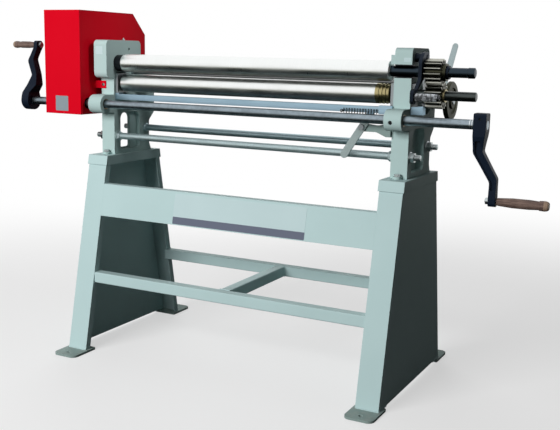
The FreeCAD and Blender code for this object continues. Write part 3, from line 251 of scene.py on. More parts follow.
class Effects:
    """The shared effects, with the scales and fixed tones of their patterns."""

    CHIPS = 95.0
    MOTTLE = 5.0
    PEEL = 330.0
    SPECKS = 46.0
    HAZE = 11.0
    BANDS = 38.0
    FIBRE_STRETCH = (14.0, 210.0, 210.0)
    DUST = (0.50, 0.48, 0.44)
    FILM = {"Color": Kind.COLOUR, "Roughness": Kind.NUMBER, "Height": Kind.NUMBER}
    MASK = {"Mask": Kind.NUMBER}

    def __init__(self) -> None:
        """Build every group once."""
        self.edge = self._edge_wear()
        self.film = self._paint_film()
        self.marks = self._tool_marks()
        self.zone = self._zone_along_x()
        self.wood = self._wood_grain()
        self.radius = self._radius_from_axis()
        self.spots = self._spots()

    def _edge_wear(self) -> bpy.types.NodeTree:
        """Rounded-edge normal and a mask of rubbed edges.

        Returns:
            The node group.
        """
        group = EffectGroup("edge_wear", {"Radius": Kind.NUMBER, "Amount": Kind.NUMBER},
                            {"Mask": Kind.NUMBER, "Normal": Kind.VECTOR})
        soft = group.result("ShaderNodeBevel", "Normal", {"Radius": group.given["Radius"]},
                            samples=4)
        hard = group.add("ShaderNodeNewGeometry").outputs["Normal"]
        bend = group.ramp(group.vector("DOT_PRODUCT", soft, hard), 0.985, 0.80)
        chips = group.ramp(group.noise(group.own_place(), self.CHIPS, 5.0), 0.47, 0.62)
        rubbed = group.times(bend, chips)
        return group.close(Mask=group.times(rubbed, group.given["Amount"]), Normal=soft)

    def _paint_film(self) -> bpy.types.NodeTree:
        """Sprayed paint: slow mottle, fine orange peel and dust on what faces up.

        Returns:
            The node group.
        """
        group = EffectGroup("paint_film", {"Paint": Kind.COLOUR, "Mottle": Kind.NUMBER,
                                           "Dust": Kind.NUMBER, "Gloss": Kind.NUMBER}, self.FILM)
        given, where = group.given, group.own_place()
        slow = group.ramp(group.noise(where, self.MOTTLE, 4.0), 0.3, 0.7)
        mottle = group.times(slow, group.times(given["Mottle"], 4.0))
        toned = group.mix(mottle, given["Paint"], group.darken(given["Paint"], 0.86, 1.06))
        facing = group.add("ShaderNodeNewGeometry").outputs["Normal"]
        upward = group.ramp(group.part(facing, "Z"), 0.55, 0.98)
        specks = group.ramp(group.noise(where, self.SPECKS, 6.0), 0.42, 0.72)
        dust = group.times(group.times(upward, specks), given["Dust"])
        rough = group.plus(given["Gloss"], group.times(slow, 0.10))
        return group.close(Color=group.mix(dust, toned, self.DUST),
                           Roughness=group.plus(rough, group.times(dust, 0.5)),
                           Height=group.noise(where, self.PEEL, 2.0))

    def _tool_marks(self) -> bpy.types.NodeTree:
        """Machined steel: stretched tool marks, oil haze and faint stains.

        Returns:
            The node group.
        """
        group = EffectGroup("tool_marks", {"Steel": Kind.COLOUR, "Stretch": Kind.VECTOR,
                                           "Depth": Kind.NUMBER, "Stain": Kind.NUMBER,
                                           "Polish": Kind.NUMBER}, self.FILM)
        given, where = group.given, group.own_place()
        lines = group.noise(group.vector("MULTIPLY", where, given["Stretch"]), 1.0)
        haze = group.ramp(group.noise(where, self.HAZE, 4.0), 0.35, 0.70)
        lined = group.times(group.ramp(lines, 0.35, 0.65, smooth=False), given["Depth"])
        marked = group.combine("MAXIMUM", lined, group.times(haze, given["Stain"]))
        toned = group.mix(marked, given["Steel"], group.darken(given["Steel"], 0.55))
        rough = group.plus(given["Polish"], group.times(haze, 0.09))
        return group.close(Color=toned, Roughness=group.plus(rough, group.times(lines, 0.07)),
                           Height=lines)

    def _zone_along_x(self) -> bpy.types.NodeTree:
        """Mask that is 1 between two places along X and 0 outside them.

        Returns:
            The node group.
        """
        group = EffectGroup("zone_along_x", {"Start": Kind.NUMBER, "Stop": Kind.NUMBER}, self.MASK)
        along = group.part(group.own_place(), "X")
        after = group.combine("GREATER_THAN", along, group.given["Start"])
        before = group.combine("LESS_THAN", along, group.given["Stop"])
        return group.close(Mask=group.times(after, before))

    def _radius_from_axis(self) -> bpy.types.NodeTree:
        """Mask that eases with the distance from an axis along X, from 0 at Clean to 1 at Filled.

        Returns:
            The node group.
        """
        group = EffectGroup("radius_from_axis", {"Centre": Kind.VECTOR, "Clean": Kind.NUMBER,
                                                 "Filled": Kind.NUMBER}, self.MASK)
        # this mask places painted shade: 0 at the outer radius, 1 at the inner one
        given = group.given
        offset = group.vector("SUBTRACT", group.own_place(), given["Centre"])
        across = group.vector("MULTIPLY", offset, (0.0, 1.0, 1.0))
        radius = group.vector("LENGTH", across)
        return group.close(Mask=group.ramp(radius, given["Clean"], given["Filled"]))

    def _spots(self) -> bpy.types.NodeTree:
        """Uneven dark spots of handling, oil and scale.

        Returns:
            The node group.
        """
        group = EffectGroup("spots", {"Size": Kind.NUMBER, "Amount": Kind.NUMBER}, self.MASK)
        patches = group.ramp(group.noise(group.own_place(), group.given["Size"]), 0.46, 0.56)
        return group.close(Mask=group.times(patches, group.given["Amount"]))

    def _wood_grain(self) -> bpy.types.NodeTree:
        """Turned hardwood with its grain along X.

        Returns:
            The node group.
        """
        group = EffectGroup("wood_grain", {"Pale": Kind.COLOUR, "Dark": Kind.COLOUR}, self.FILM)
        where = group.own_place()
        fibre = group.noise(group.vector("MULTIPLY", where, self.FIBRE_STRETCH), 1.0, 6.0)
        bands = group.noise(where, self.BANDS, 2.0)
        tone = group.ramp(group.plus(group.times(fibre, 0.7), group.times(bands, 0.3)), 0.36, 0.62)
        return group.close(Color=group.mix(tone, group.given["Pale"], group.given["Dark"]),
                           Roughness=group.ramp(fibre, 0.2, 0.8, 0.5, 0.68),
                           Height=fibre)


# ---- finishes -----------------------------------------------------------------------------
@dataclass(frozen=True)
class Zone:
    """A stretch along X, in metres, with a colour of its own."""

    start: float
    stop: float
    colour: Colour


@dataclass(frozen=True)
class Hollows:
    """Painted shade in the hollows of a toothed or knurled piece, fading out towards its crests.

    The axis is its Y and Z and the radii are in millimetres.
    """

    axis: tuple[float, float]
    root: float
    crest: float
    colour: Colour


class Surface(Wiring):
    """A material under construction: one Principled shader and the groups placed before it."""

    def __init__(self, name: str) -> None:
        """Start a material with its Principled shader.

        Args:
            name: name of the material.
        """
        self.material = bpy.data.materials.new(name)
        self.material.use_nodes = True
        super().__init__(self.material.node_tree)
        self.shader = self.tree.nodes["Principled BSDF"]

    def place(self, group: bpy.types.NodeTree,
              **values: Colour | float) -> bpy.types.NodeOutputs:
        """Place a shared group with its own values.

        Args:
            group: the node group.
            values: values of its inputs, by name.

        Returns:
            The group's outputs.
        """
        node = self.add("ShaderNodeGroup", node_tree=group)
        for label, value in values.items():
            self.feed(node.inputs[label], value)
        return node.outputs

    def shade(self, label: str, value: Plug | Colour | float) -> None:
        """Feed one of the shader's inputs."""
        self.feed(self.shader.inputs[label], value)

    def zoned(self, shown: Plug, zones: Iterable[Zone], effects: Effects) -> Plug:
        """Lay the colours of zones over a colour.

        Args:
            shown: the colour.
            zones: the zones.
            effects: the shared node groups.

        Returns:
            The colour with its zones.
        """
        for zone in zones:
            mask = self.place(effects.zone, Start=zone.start, Stop=zone.stop)["Mask"]
            shown = self.mix(mask, shown, zone.colour)
        return shown

    def cover(self, colour: Plug, film: bpy.types.NodeOutputs, strength: float, depth: float,
              normal: Plug | None = None) -> None:
        """Feed the shader a colour, and the roughness and relief of a film.

        Args:
            colour: the colour.
            film: outputs that give the roughness and the height.
            strength: strength of the bump.
            depth: its depth in metres.
            normal: normal that the bump starts from.
        """
        inputs = {"Height": film["Height"], "Strength": strength, "Distance": depth}
        if normal is not None:
            inputs["Normal"] = normal
        self.shade("Base Color", colour)
        self.shade("Roughness", film["Roughness"])
        self.shade("Normal", self.result("ShaderNodeBump", "Normal", inputs))


@dataclass(frozen=True)
class PaintFinish:
    """Sprayed paint over sheet or casting."""

    name: str
    slot: str
    colour: Colour
    gloss: float = 0.34
    mottle: float = 0.06
    dust: float = 0.12
    peel: float = 0.10
    depth: float = 0.00025
    edge: float = 0.0016
    wear: float = 0.25
    worn: Colour = (0.62, 0.68, 0.67)
    specular: float = 0.18

    def make(self, effects: Effects) -> bpy.types.Material:
        """Build the material.

        Args:
            effects: the shared node groups.

        Returns:
            The painted material.
        """
        surface = Surface(self.name)
        film = surface.place(effects.film, Paint=self.colour, Mottle=self.mottle, Dust=self.dust,
                             Gloss=self.gloss)
        edge = surface.place(effects.edge, Radius=self.edge, Amount=self.wear)
        worn = surface.mix(edge["Mask"], film["Color"], self.worn)
        surface.shade("Specular IOR Level", self.specular)
        surface.cover(worn, film, self.peel, self.depth, edge["Normal"])
        return surface.material


@dataclass(frozen=True)
class SteelFinish:
    """Turned, drawn or ground metal."""

    name: str
    slot: str
    colour: Colour
    grain: Grain
    polish: float
    depth: float
    stain: float
    edge: float = 0.0006
    zones: tuple[Zone, ...] = ()
    hollows: Hollows | None = None
    spots: float = 0.0
    spot_size: float = 60.0
    spot_tone: float = 0.12
    edge_wear: float = 0.5
    bump: float = 0.06
    bump_depth: float = 0.0001

    def make(self, effects: Effects) -> bpy.types.Material:
        """Build the material.

        Args:
            effects: the shared node groups.

        Returns:
            The metal material.
        """
        surface = Surface(self.name)
        marks = surface.place(effects.marks, Steel=self.colour, Stretch=self.grain.value,
                              Depth=self.depth, Stain=self.stain, Polish=self.polish)
        edge = surface.place(effects.edge, Radius=self.edge, Amount=self.edge_wear)
        shown = surface.zoned(marks["Color"], self.zones, effects)
        if self.hollows is not None:
            # painted shade: darken the hollows from the crests down to the roots
            y, z = self.hollows.axis
            painted_shade = surface.place(effects.radius, Centre=(0.0, y * MM, z * MM),
                                  Clean=self.hollows.crest * MM, Filled=self.hollows.root * MM)
            shown = surface.mix(painted_shade["Mask"], shown, self.hollows.colour)
        if self.spots > 0.0:
            spots = surface.place(effects.spots, Size=self.spot_size, Amount=self.spots)
            shown = surface.mix(spots["Mask"], shown,
                                tuple(part * self.spot_tone for part in self.colour))
        bright = tuple(min(1.0, part * 1.35 + 0.06) for part in self.colour)
        shown = surface.mix(edge["Mask"], shown, bright)
        surface.shade("Metallic", 1.0)
        surface.cover(shown, marks, self.bump, self.bump_depth, edge["Normal"])
        return surface.material


@dataclass(frozen=True)
class WoodFinish:
    """Turned hardwood, lightly oiled."""

    name: str
    slot: str
    pale: Colour
    dark: Colour
    zones: tuple[Zone, ...]
    bump: float = 0.25
    bump_depth: float = 0.0003

    def make(self, effects: Effects) -> bpy.types.Material:
        """Build the material.

        Args:
            effects: the shared node groups.

        Returns:
            The wood material.
        """
        surface = Surface(self.name)
        grain = surface.place(effects.wood, Pale=self.pale, Dark=self.dark)
        shown = surface.zoned(grain["Color"], self.zones, effects)
        surface.cover(shown, grain, self.bump, self.bump_depth)
        return surface.material


@dataclass(frozen=True)
class PlateFinish:
    """Blank identification plate: pale sheet with one plain darker stripe along its foot."""

    name: str
    slot: str
    sheet: Colour
    stripe: Colour
    stripe_top: tuple[float, float]
    bump: float = 0.05
    bump_depth: float = 0.0001

    def make(self, effects: Effects) -> bpy.types.Material:
        """Build the material.

        Args:
            effects: the shared node groups.

        Returns:
            The plate's material.
        """
        surface = Surface(self.name)
        film = surface.place(effects.film, Paint=self.sheet, Mottle=0.05, Dust=0.0, Gloss=0.4)
        low, high = self.stripe_top
        band = surface.ramp(surface.part(surface.own_place(), "Z"), high, low, smooth=False)
        shown = surface.mix(band, film["Color"], self.stripe)
        surface.cover(shown, film, self.bump, self.bump_depth)
        return surface.material


Finish = PaintFinish | SteelFinish | WoodFinish | PlateFinish

FAR = 2.0
BARREL_END = 0.5355
TOP_ROLL_AXIS = (-80.0, 1070.0)
LOWER_ROLL_AXIS = (-64.0, 996.7265)
SHAFT_AXIS = (-155.0, 918.5025)
LATCH_AXIS = (-184.0, 994.0)
GREEN_GREY = (0.515, 0.680, 0.680)
ROLL_STEEL = (0.95, 0.97, 0.96)
GEAR_STEEL = (0.56, 0.56, 0.50)
# painted shade for the roots of the gear teeth
PAINTED_ROOT_SHADE = (0.050, 0.050, 0.032)
RUBBED_RING = (0.78, 0.83, 0.86)
BARE_WOOD = (0.330, 0.235, 0.170)


def gear_finish(name: str, axis: tuple[float, float], root: float, crest: float) -> SteelFinish:
    """Finish of a cut gear about an axis, with painted shade that deepens from its crests down to
    its roots.
    """
    return SteelFinish(name, "gear_steel", GEAR_STEEL, Grain.ALONG_X, polish=0.30, depth=0.4,
                       stain=0.35, hollows=Hollows(axis, root, crest, PAINTED_ROOT_SHADE))


FINISHES: tuple[Finish, ...] = (
    PaintFinish("stand_paint", "machine_green", GREEN_GREY, gloss=0.42, dust=0.10, specular=0.06),
    PaintFinish("foot_paint", "machine_green", (0.290, 0.380, 0.360), gloss=0.50, mottle=0.10,
                dust=0.25, specular=0.10),
    PaintFinish("casting_paint", "machine_green", (0.470, 0.620, 0.605), gloss=0.46, mottle=0.09,
                peel=0.35, depth=0.0005, edge=0.0030, specular=0.06),
    # casting green darkened for the lever bracket: painted shade
    PaintFinish("bracket_paint", "machine_green", (0.260, 0.345, 0.330), gloss=0.46, mottle=0.09,
                peel=0.35, depth=0.0005, edge=0.0020, dust=0.10, specular=0.10),
    PaintFinish("cover_red", "cover_paint", (0.690, 0.0028, 0.015), mottle=0.03, dust=0.02,
                edge=0.0022, wear=0.10, worn=(0.75, 0.06, 0.07), specular=0.05),
    PaintFinish("crank_blue_black", "crank_paint", (0.0055, 0.0105, 0.0210), gloss=0.42,
                mottle=0.10, dust=0.02, peel=0.45, depth=0.0006, edge=0.0028, wear=0.35,
                worn=(0.06, 0.09, 0.14), specular=0.14),
    PaintFinish("blackened", "black_steel", (0.006, 0.007, 0.009), gloss=0.36, dust=0.02,
                edge=0.001, wear=0.4, worn=(0.20, 0.20, 0.21), specular=0.2),
    SteelFinish("ground_roll", "roll_steel", ROLL_STEEL, Grain.AROUND_X, polish=0.25, depth=0.08,
                stain=0.04, zones=(Zone(BARREL_END, FAR, (0.034, 0.049, 0.063)),
                                   Zone(-FAR, -0.5235, (0.05, 0.055, 0.06)))),
    SteelFinish("grooved_roll", "roll_steel", ROLL_STEEL, Grain.AROUND_X, polish=0.25, depth=0.08,
                # painted reflection: the brassy tint on the barrel's grooved end
                stain=0.04, zones=(Zone(0.486, BARREL_END, (0.46, 0.39, 0.20)),
                                   Zone(BARREL_END, FAR, (0.070, 0.082, 0.080)),
                                   Zone(-FAR, -BARREL_END, (0.45, 0.46, 0.46)))),
    # the rear roll's steel, darkened well below the other rolls' steel: painted shade between the
    # rolls
    SteelFinish("rear_roll_ground", "roll_steel", (0.24, 0.25, 0.25), Grain.AROUND_X, polish=0.27,
                depth=0.12, stain=0.20),
    SteelFinish("drawn_shaft", "bright_bar", (0.35, 0.42, 0.47), Grain.ALONG_X, polish=0.30,
                depth=0.35, stain=0.40, spots=0.14, spot_size=70.0,
                zones=(Zone(0.8220, 0.8245, RUBBED_RING), Zone(0.8290, 0.8315, RUBBED_RING))),
    SteelFinish("bright_flat", "bright_bar", (0.52, 0.73, 0.87), Grain.ALONG_X, polish=0.42,
                depth=0.25, stain=0.15, edge=0.0008),
    SteelFinish("lever_flat", "bright_bar", (0.60, 0.71, 0.71), Grain.EVEN, polish=0.48,
                depth=0.2, stain=0.15, edge=0.0008),
    SteelFinish("tie_front_steel", "bright_bar", (0.66, 0.80, 0.82), Grain.AROUND_X, polish=0.50,
                depth=0.25, stain=0.2),
    # darker copy of the front tie rod's steel: painted shade on the rear rod and its lock nuts
    SteelFinish("tie_rear_steel", "bright_bar", (0.46, 0.60, 0.64), Grain.AROUND_X, polish=0.40,
                depth=0.25, stain=0.25),
    SteelFinish("milled_steel", "machined_steel", (0.42, 0.46, 0.48), Grain.EVEN, polish=0.36,
                depth=0.2, stain=0.25),
    SteelFinish("dark_milled", "machined_steel", (0.020, 0.027, 0.040), Grain.EVEN, polish=0.40,
                depth=0.2, stain=0.2),
    SteelFinish("index_disc_steel", "machined_steel", (0.048, 0.050, 0.034), Grain.EVEN,
                polish=0.42, depth=0.3, stain=0.4),
    gear_finish("top_gear_steel", TOP_ROLL_AXIS, 34.0, 41.0),
    gear_finish("lower_gear_steel", LOWER_ROLL_AXIS, 34.0, 41.0),
    gear_finish("drive_gear_steel", LOWER_ROLL_AXIS, 86.0, 93.5),
    gear_finish("pinion_steel", SHAFT_AXIS, 26.0, 33.5),
    SteelFinish("brass_ring", "machined_steel", (0.46, 0.40, 0.22), Grain.AROUND_X, polish=0.30,
                depth=0.2, stain=0.4),
    SteelFinish("bronze_bush", "bearing_bronze", (0.20, 0.17, 0.12), Grain.AROUND_X, polish=0.34,
                depth=0.2, stain=0.3),
    SteelFinish("zinc_plate", "zinc_fastener", (0.60, 0.66, 0.67), Grain.EVEN, polish=0.32,
                depth=0.15, stain=0.25),
    SteelFinish("spring_wire", "spring_steel", (0.016, 0.018, 0.022), Grain.EVEN, polish=0.30,
                depth=0.1, stain=0.2, edge=0.0002),
    SteelFinish("rear_lever_bar", "machined_steel", (0.40, 0.48, 0.49), Grain.EVEN, polish=0.46,
                depth=0.2, stain=0.2),
    SteelFinish("knurled_steel", "handle_grey", (0.80, 0.84, 0.88), Grain.EVEN, polish=0.24,
                depth=0.2, stain=0.1, edge=0.0002, spots=0.85, spot_size=125.0,
                # the near-black colour in the knurl's hollows is painted shade
                hollows=Hollows(LATCH_AXIS, 10.6, 11.8, (0.010, 0.011, 0.014))),
    WoodFinish("turned_wood", "grip_wood", (0.205, 0.140, 0.115), (0.100, 0.066, 0.056),
               (Zone(-FAR, -0.986, BARE_WOOD), Zone(1.058, FAR, BARE_WOOD))),
    PlateFinish("blank_plate", "machine_green", (0.545, 0.690, 0.700), (0.125, 0.142, 0.195),
                (0.5345, 0.5350)),
    PaintFinish("small_plate", "machine_green", (0.270, 0.320, 0.350), gloss=0.4, mottle=0.08,
                dust=0.0, edge=0.0003),
)


class Workshop:
    """Keeps the finished materials and dresses pieces with them."""

    def __init__(self) -> None:
        """Make every finish."""
        effects = Effects()
        self.finishes = {finish.name: finish for finish in FINISHES}
        self.materials = {finish.name: finish.make(effects) for finish in FINISHES}

    def dress(self, finish: str, *nodes: str) -> None:
        """Give carried-over nodes their finish.

        Args:
            finish: name of the finish.
            nodes: names of the nodes.
        """
        for node in nodes:
            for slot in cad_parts[node].material_slots:
                slot.link = "OBJECT"
                slot.material = self.materials[finish]
            LOG.info("dressed %s in %s", node, finish)

    def fit(self, piece: bpy.types.Object, body: str, finish: str) -> None:
        """Finish a new piece and let it ride on a body.

        Args:
            piece: the new piece.
            body: name of the body that carries it.
            finish: name of the finish.
        """
        piece.data.materials.append(self.materials[finish])
        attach(piece, body)
        LOG.info("fitted %s on %s", piece.name, body)


# ---- mesh making --------------------------------------------------------------------------
def add_object(name: str, data: bpy.types.ID) -> bpy.types.Object:
    """Add an object with the given data to the scene.

    Args:
        name: name of the object.
        data: its mesh, light or camera.

    Returns:
        The new object.
    """
    made = bpy.data.objects.new(name, data)
    bpy.context.scene.collection.objects.link(made)
    return made


def mesh_from(name: str, mesh: bmesh.types.BMesh) -> bpy.types.Mesh:
    """Turn a bmesh, which is freed, into a mesh.

    Args:
        name: name of the mesh.
        mesh: the bmesh.

    Returns:
        The new mesh.
    """
    data = bpy.data.meshes.new(name)
    mesh.to_mesh(data)
    mesh.free()
    return data


class Forge:
    """Builds meshes in metres from profiles given in millimetres."""

    WIRE_SIDES = 8
    COIL_STEPS = 20
    CORNER_STEPS = 5
    NUT_POINTS = 48

    @staticmethod
    def object_from(name: str, mesh: bmesh.types.BMesh, sharp: float = 32.0) -> bpy.types.Object:
        """Turn a bmesh into an object with smooth faces and sharp corners.

        Args:
            name: name of the object.
            mesh: the bmesh, which is freed.
            sharp: angle in degrees above which an edge stays sharp.

        Returns:
            The new object.
        """
        bmesh.ops.remove_doubles(mesh, verts=mesh.verts, dist=1e-7)
        bmesh.ops.recalc_face_normals(mesh, faces=mesh.faces)
        data = mesh_from(name, mesh)
        for polygon in data.polygons:
            polygon.use_smooth = True
        data.set_sharp_from_angle(angle=math.radians(sharp))
        return add_object(name, data)

    @staticmethod
    def skin(mesh: bmesh.types.BMesh, rings: Sequence[Sequence[Vector]]) -> None:
        """Skin a row of rings of equal count and close both ends.

        Args:
            mesh: the bmesh to add to.
            rings: the rings, each a closed loop of points.
        """
        rows = [[mesh.verts.new(point) for point in ring] for ring in rings]
        for row, following in zip(rows, rows[1:]):
            count = len(row)
            for i in range(count):
                j = (i + 1) % count
                mesh.faces.new((row[i], row[j], following[j], following[i]))
        mesh.faces.new(rows[0])
        mesh.faces.new(rows[-1])

    @classmethod
    def turned(cls, name: str, profile: Sequence[tuple[float, float]], centre: Point,
               axis: Axis = Axis.X, count: int = 40, sharp: float = 32.0,
               shape: Callable[[float, float, float], float] | None = None) -> bpy.types.Object:
        """Turn a closed solid from (distance, radius) points.

        Args:
            name: name of the object.
            profile: distance along the axis and radius, in millimetres.
            centre: where distance 0 lies, in millimetres.
            axis: axis of the solid.
            count: points around.
            sharp: angle in degrees above which an edge stays sharp.
            shape: gives the radius for (distance, angle, profile's radius), in millimetres.

        Returns:
            The new object.
        """
        mesh = bmesh.new()
        rings = []
        for along, radius in profile:
            ring = []
            for k in range(count):
                angle = FULL_TURN * k / count
                reach = shape(along, angle, radius) if shape else radius
                offset = axis.offset(along, reach * math.cos(angle), reach * math.sin(angle))
                ring.append((Vector(centre) + offset) * MM)
            rings.append(ring)
        cls.skin(mesh, rings)
        return cls.object_from(name, mesh, sharp)

    @classmethod
    def wire_ring(cls, centre: Vector, side: Vector, other: Vector, radius: float) -> list[Vector]:
        """Ring around a round bead or wire.

        Args:
            centre: its centre, in millimetres.
            side: unit vector across the wire.
            other: unit vector across both.
            radius: its radius.

        Returns:
            The points, in metres.
        """
        turns = (FULL_TURN * k / cls.WIRE_SIDES for k in range(cls.WIRE_SIDES))
        return [(centre + (side * math.cos(t) + other * math.sin(t)) * radius) * MM for t in turns]

    @classmethod
    def bead(cls, name: str, paths: Iterable[Sequence[Point]], radius: float, ripple: float = 0.0,
             pitch: float = 3.0) -> bpy.types.Object:
        """Lay round beads or wires along paths.

        Args:
            name: name of the object.
            paths: lines of points, in millimetres.
            radius: radius of the bead.
            ripple: share by which the radius swells and shrinks.
            pitch: length of one ripple.

        Returns:
            The new object.
        """
        mesh = bmesh.new()
        for path in paths:
            points = [Vector(point) for point in path]
            if ripple > 0.0:
                points = cls.divided(points, pitch / 2.0)
            rings = []
            for i, here in enumerate(points):
                run = (points[min(i + 1, len(points) - 1)] - points[max(i - 1, 0)]).normalized()
                steep = abs(run.z) >= 0.9
                lean = Vector((1.0, 0.2, 0.1)) if steep else Vector((0.31, 0.17, 0.94))
                side = run.cross(lean).normalized()
                reach = radius * (1.0 + ripple * (1 if i % 2 else -1))
                rings.append(cls.wire_ring(here, side, run.cross(side), reach))
            cls.skin(mesh, rings)
        return cls.object_from(name, mesh, sharp=60.0)

    @classmethod
    def coil(cls, name: str, start: Point, length: float, radius: float, wire: float,
             turns: float) -> bpy.types.Object:
        """Coil spring along X.

        Args:
            name: name of the object.
            start: where its axis begins, in millimetres.
            length: its length.
            radius: radius of the wire's centre line.
            wire: radius of the wire.
            turns: number of turns.

        Returns:
            The new object.
        """
        steps = int(turns * cls.COIL_STEPS)
        rings = []
        for k in range(steps + 1):
            angle = FULL_TURN * turns * k / steps
            outward = Vector((0.0, math.cos(angle), math.sin(angle)))
            here = Vector(start) + Vector((length * k / steps, 0.0, 0.0)) + outward * radius
            run = Vector((length / (FULL_TURN * turns), -radius * math.sin(angle),
                          radius * math.cos(angle)))
            rings.append(cls.wire_ring(here, outward, run.normalized().cross(outward), wire))
        mesh = bmesh.new()
        cls.skin(mesh, rings)
        return cls.object_from(name, mesh, sharp=60.0)

    @staticmethod
    def divided(points: Sequence[Vector], step: float) -> list[Vector]:
        """Divide the runs between points.

        Args:
            points: the points.
            step: length of a part, about.

        Returns:
            The points with the new ones between them.
        """
        out = [points[0]]
        for start, stop in zip(points, points[1:]):
            parts = max(1, int((stop - start).length / step))
            out += [start.lerp(stop, (k + 1) / parts) for k in range(parts)]
        return out

    @classmethod
    def plate(cls, name: str, corners: Sequence[Point], normal: Point, thick: float,
              round_by: float) -> bpy.types.Object:
        """Thin plate with rounded corners and a small edge bevel.

        Args:
            name: name of the object.
            corners: its corners in order, in millimetres.
            normal: direction in which its thickness goes.
            thick: thickness in millimetres.
            round_by: radius of its corners.

        Returns:
            The new object.
        """
        loop: list[Vector] = []
        points = [Vector(corner) for corner in corners]
        for i, here in enumerate(points):
            back = (points[i - 1] - here).normalized() * round_by
            ahead = (points[(i + 1) % len(points)] - here).normalized() * round_by
            for k in range(cls.CORNER_STEPS + 1):
                t = k / cls.CORNER_STEPS
                loop.append(here + back * (1 - t) ** 2 + ahead * t ** 2)
        out = Vector(normal).normalized()
        middle = sum(loop, Vector()) / len(loop)
        lip = 0.25 * thick
        rings = [
            [point * MM for point in loop],
            [(point + out * (thick - lip)) * MM for point in loop],
            [(point + (middle - point).normalized() * lip + out * thick) * MM for point in loop],
        ]
        mesh = bmesh.new()
        cls.skin(mesh, rings)
        return cls.object_from(name, mesh, sharp=25.0)

    @classmethod
    def upright_plate(cls, name: str, across: tuple[float, float], up: tuple[float, float],
                      front: float) -> bpy.types.Object:
        """Small plate that faces the front.

        Args:
            name: name of the object.
            across: its left and right edge, in millimetres.
            up: its lower and upper edge.
            front: Y of the face that carries it.

        Returns:
            The new object.
        """
        (left, right), (low, high) = across, up
        outline = ((left, low), (right, low), (right, high), (left, high))
        corners = [(x, front, z) for x, z in outline]
        return cls.plate(name, corners, (0.0, -1.0, 0.0), thick=0.5, round_by=2.0)

    @classmethod
    def hexagon(cls, name: str, seat: Point, away: float, flats: float,
                height: float) -> bpy.types.Object:
        """Chamfered hexagon nut on an axis along X.

        Args:
            name: name of the object.
            seat: middle of its seat, in millimetres.
            away: sign of the X towards which it stands.
            flats: width across flats.
            height: height of the nut.

        Returns:
            The new object.
        """
        half_flat = math.pi / 6.0

        def flattened(_: float, angle: float, radius: float) -> float:
            """Radius of the nut at an angle, cut back to its flats."""
            within = (angle + half_flat) % (2.0 * half_flat) - half_flat
            return min(flats / 2.0 / math.cos(within), radius)

        wide = flats / 2.0 / math.cos(half_flat)
        profile = [(0.0, wide), (away * (height - 0.09 * flats), wide),
                   (away * height, flats * 0.475)]
        return cls.turned(name, profile, seat, count=cls.NUT_POINTS, sharp=24.0, shape=flattened)


# ---- the machine's sub-assemblies ---------------------------------------------------------
@dataclass
class Stand:
    """Folded pedestals, caps, feet, front panel and rails."""

    shop: Workshop
    top: float = 727.0
    half_top: float = 165.0
    slope: float = 0.2
    inner: float = 545.0
    outer: float = 625.0
    foot_thick: float = 8.0
    foot_weld: float = 68.0
    rail_size: float = 40.0
    rail_base: float = 257.0
    weld_gap: float = 0.5
    seam_z: tuple[float, float] = (507.0, 623.0)
    seam_sink: float = 1.2
    plate_x: tuple[float, float] = (-224.0, 300.0)
    plate_z: tuple[float, float] = (509.0, 616.0)

    def half_depth(self, z: float) -> float:
        """Outer half depth of a pedestal at height z."""
        return self.half_top + self.slope * (self.top - z)

    def build(self) -> None:
        """Dress the stand and add its seams and its blank plate."""
        self.shop.dress("stand_paint", "left_pedestal", "right_pedestal", "pedestal_caps",
                        "front_panel", "front_rail", "rear_rail", "cross_rail")
        self.shop.dress("foot_paint", "foot_plates")
        rails = Forge.bead("rail_weld_beads", self.rail_welds(), radius=2.2, ripple=0.14, pitch=3.4)
        feet = Forge.bead("foot_weld_beads", self.foot_welds(), radius=2.4, ripple=0.14, pitch=3.6)
        panel = Forge.bead("panel_seams", self.panel_seams(), radius=1.6, ripple=0.10, pitch=3.0)
        for piece in (rails, feet, panel):
            self.shop.fit(piece, "frame", "stand_paint")
        self.add_plate()

    def rail_welds(self) -> list[list[Point]]:
        """Paths of the beads where the rails meet the pedestals and each other.

        Returns:
            The paths, in millimetres.
        """
        paths: list[list[Point]] = []
        half, low, high = self.rail_size / 2.0, self.rail_base, self.rail_base + self.rail_size
        rail_y = self.half_depth(high) - self.rail_size
        for side in Side:
            x = side.value * (self.inner + self.weld_gap)
            for y in (-rail_y - self.rail_size, rail_y):
                back = y + self.rail_size
                paths += [[(x, back, low), (x, back, high)], [(x, y, high), (x, back, high)],
                          [(x, y, low), (x, back, low)]]
            y = side.value * (rail_y - self.weld_gap)
            paths += [[(-half, y, high), (half, y, high)], [(-half, y, low), (-half, y, high)],
                      [(half, y, low), (half, y, high)]]
        return paths

    def foot_welds(self) -> list[list[Point]]:
        """Paths of the beads around the pedestals on the foot plates.

        Returns:
            The paths, in millimetres.
        """
        z = self.foot_thick
        deep = self.half_depth(z)
        return [
            [(side.value * self.inner, way * deep, z), (side.value * self.outer, way * deep, z),
             (side.value * self.outer, way * (deep - self.foot_weld), z)]
            for side in Side for way in (-1.0, 1.0)
        ]

    def panel_seams(self) -> list[list[Point]]:
        """Paths of the seams at both ends of the front panel, in millimetres."""
        return [[(side.value * self.inner, self.seam_sink - self.half_depth(z), z)
                 for z in self.seam_z] for side in Side]

    def add_plate(self) -> None:
        """The blank plate on the front panel."""
        (left, right), (low, high) = self.plate_x, self.plate_z
        corners = [(x, -self.half_depth(z), z)
                   for x, z in ((left, low), (right, low), (right, high), (left, high))]
        plate = Forge.plate("blank_front_plate", corners, (0.0, -1.0, self.slope),
                            thick=0.6, round_by=3.0)
        self.shop.fit(plate, "frame", "blank_plate")


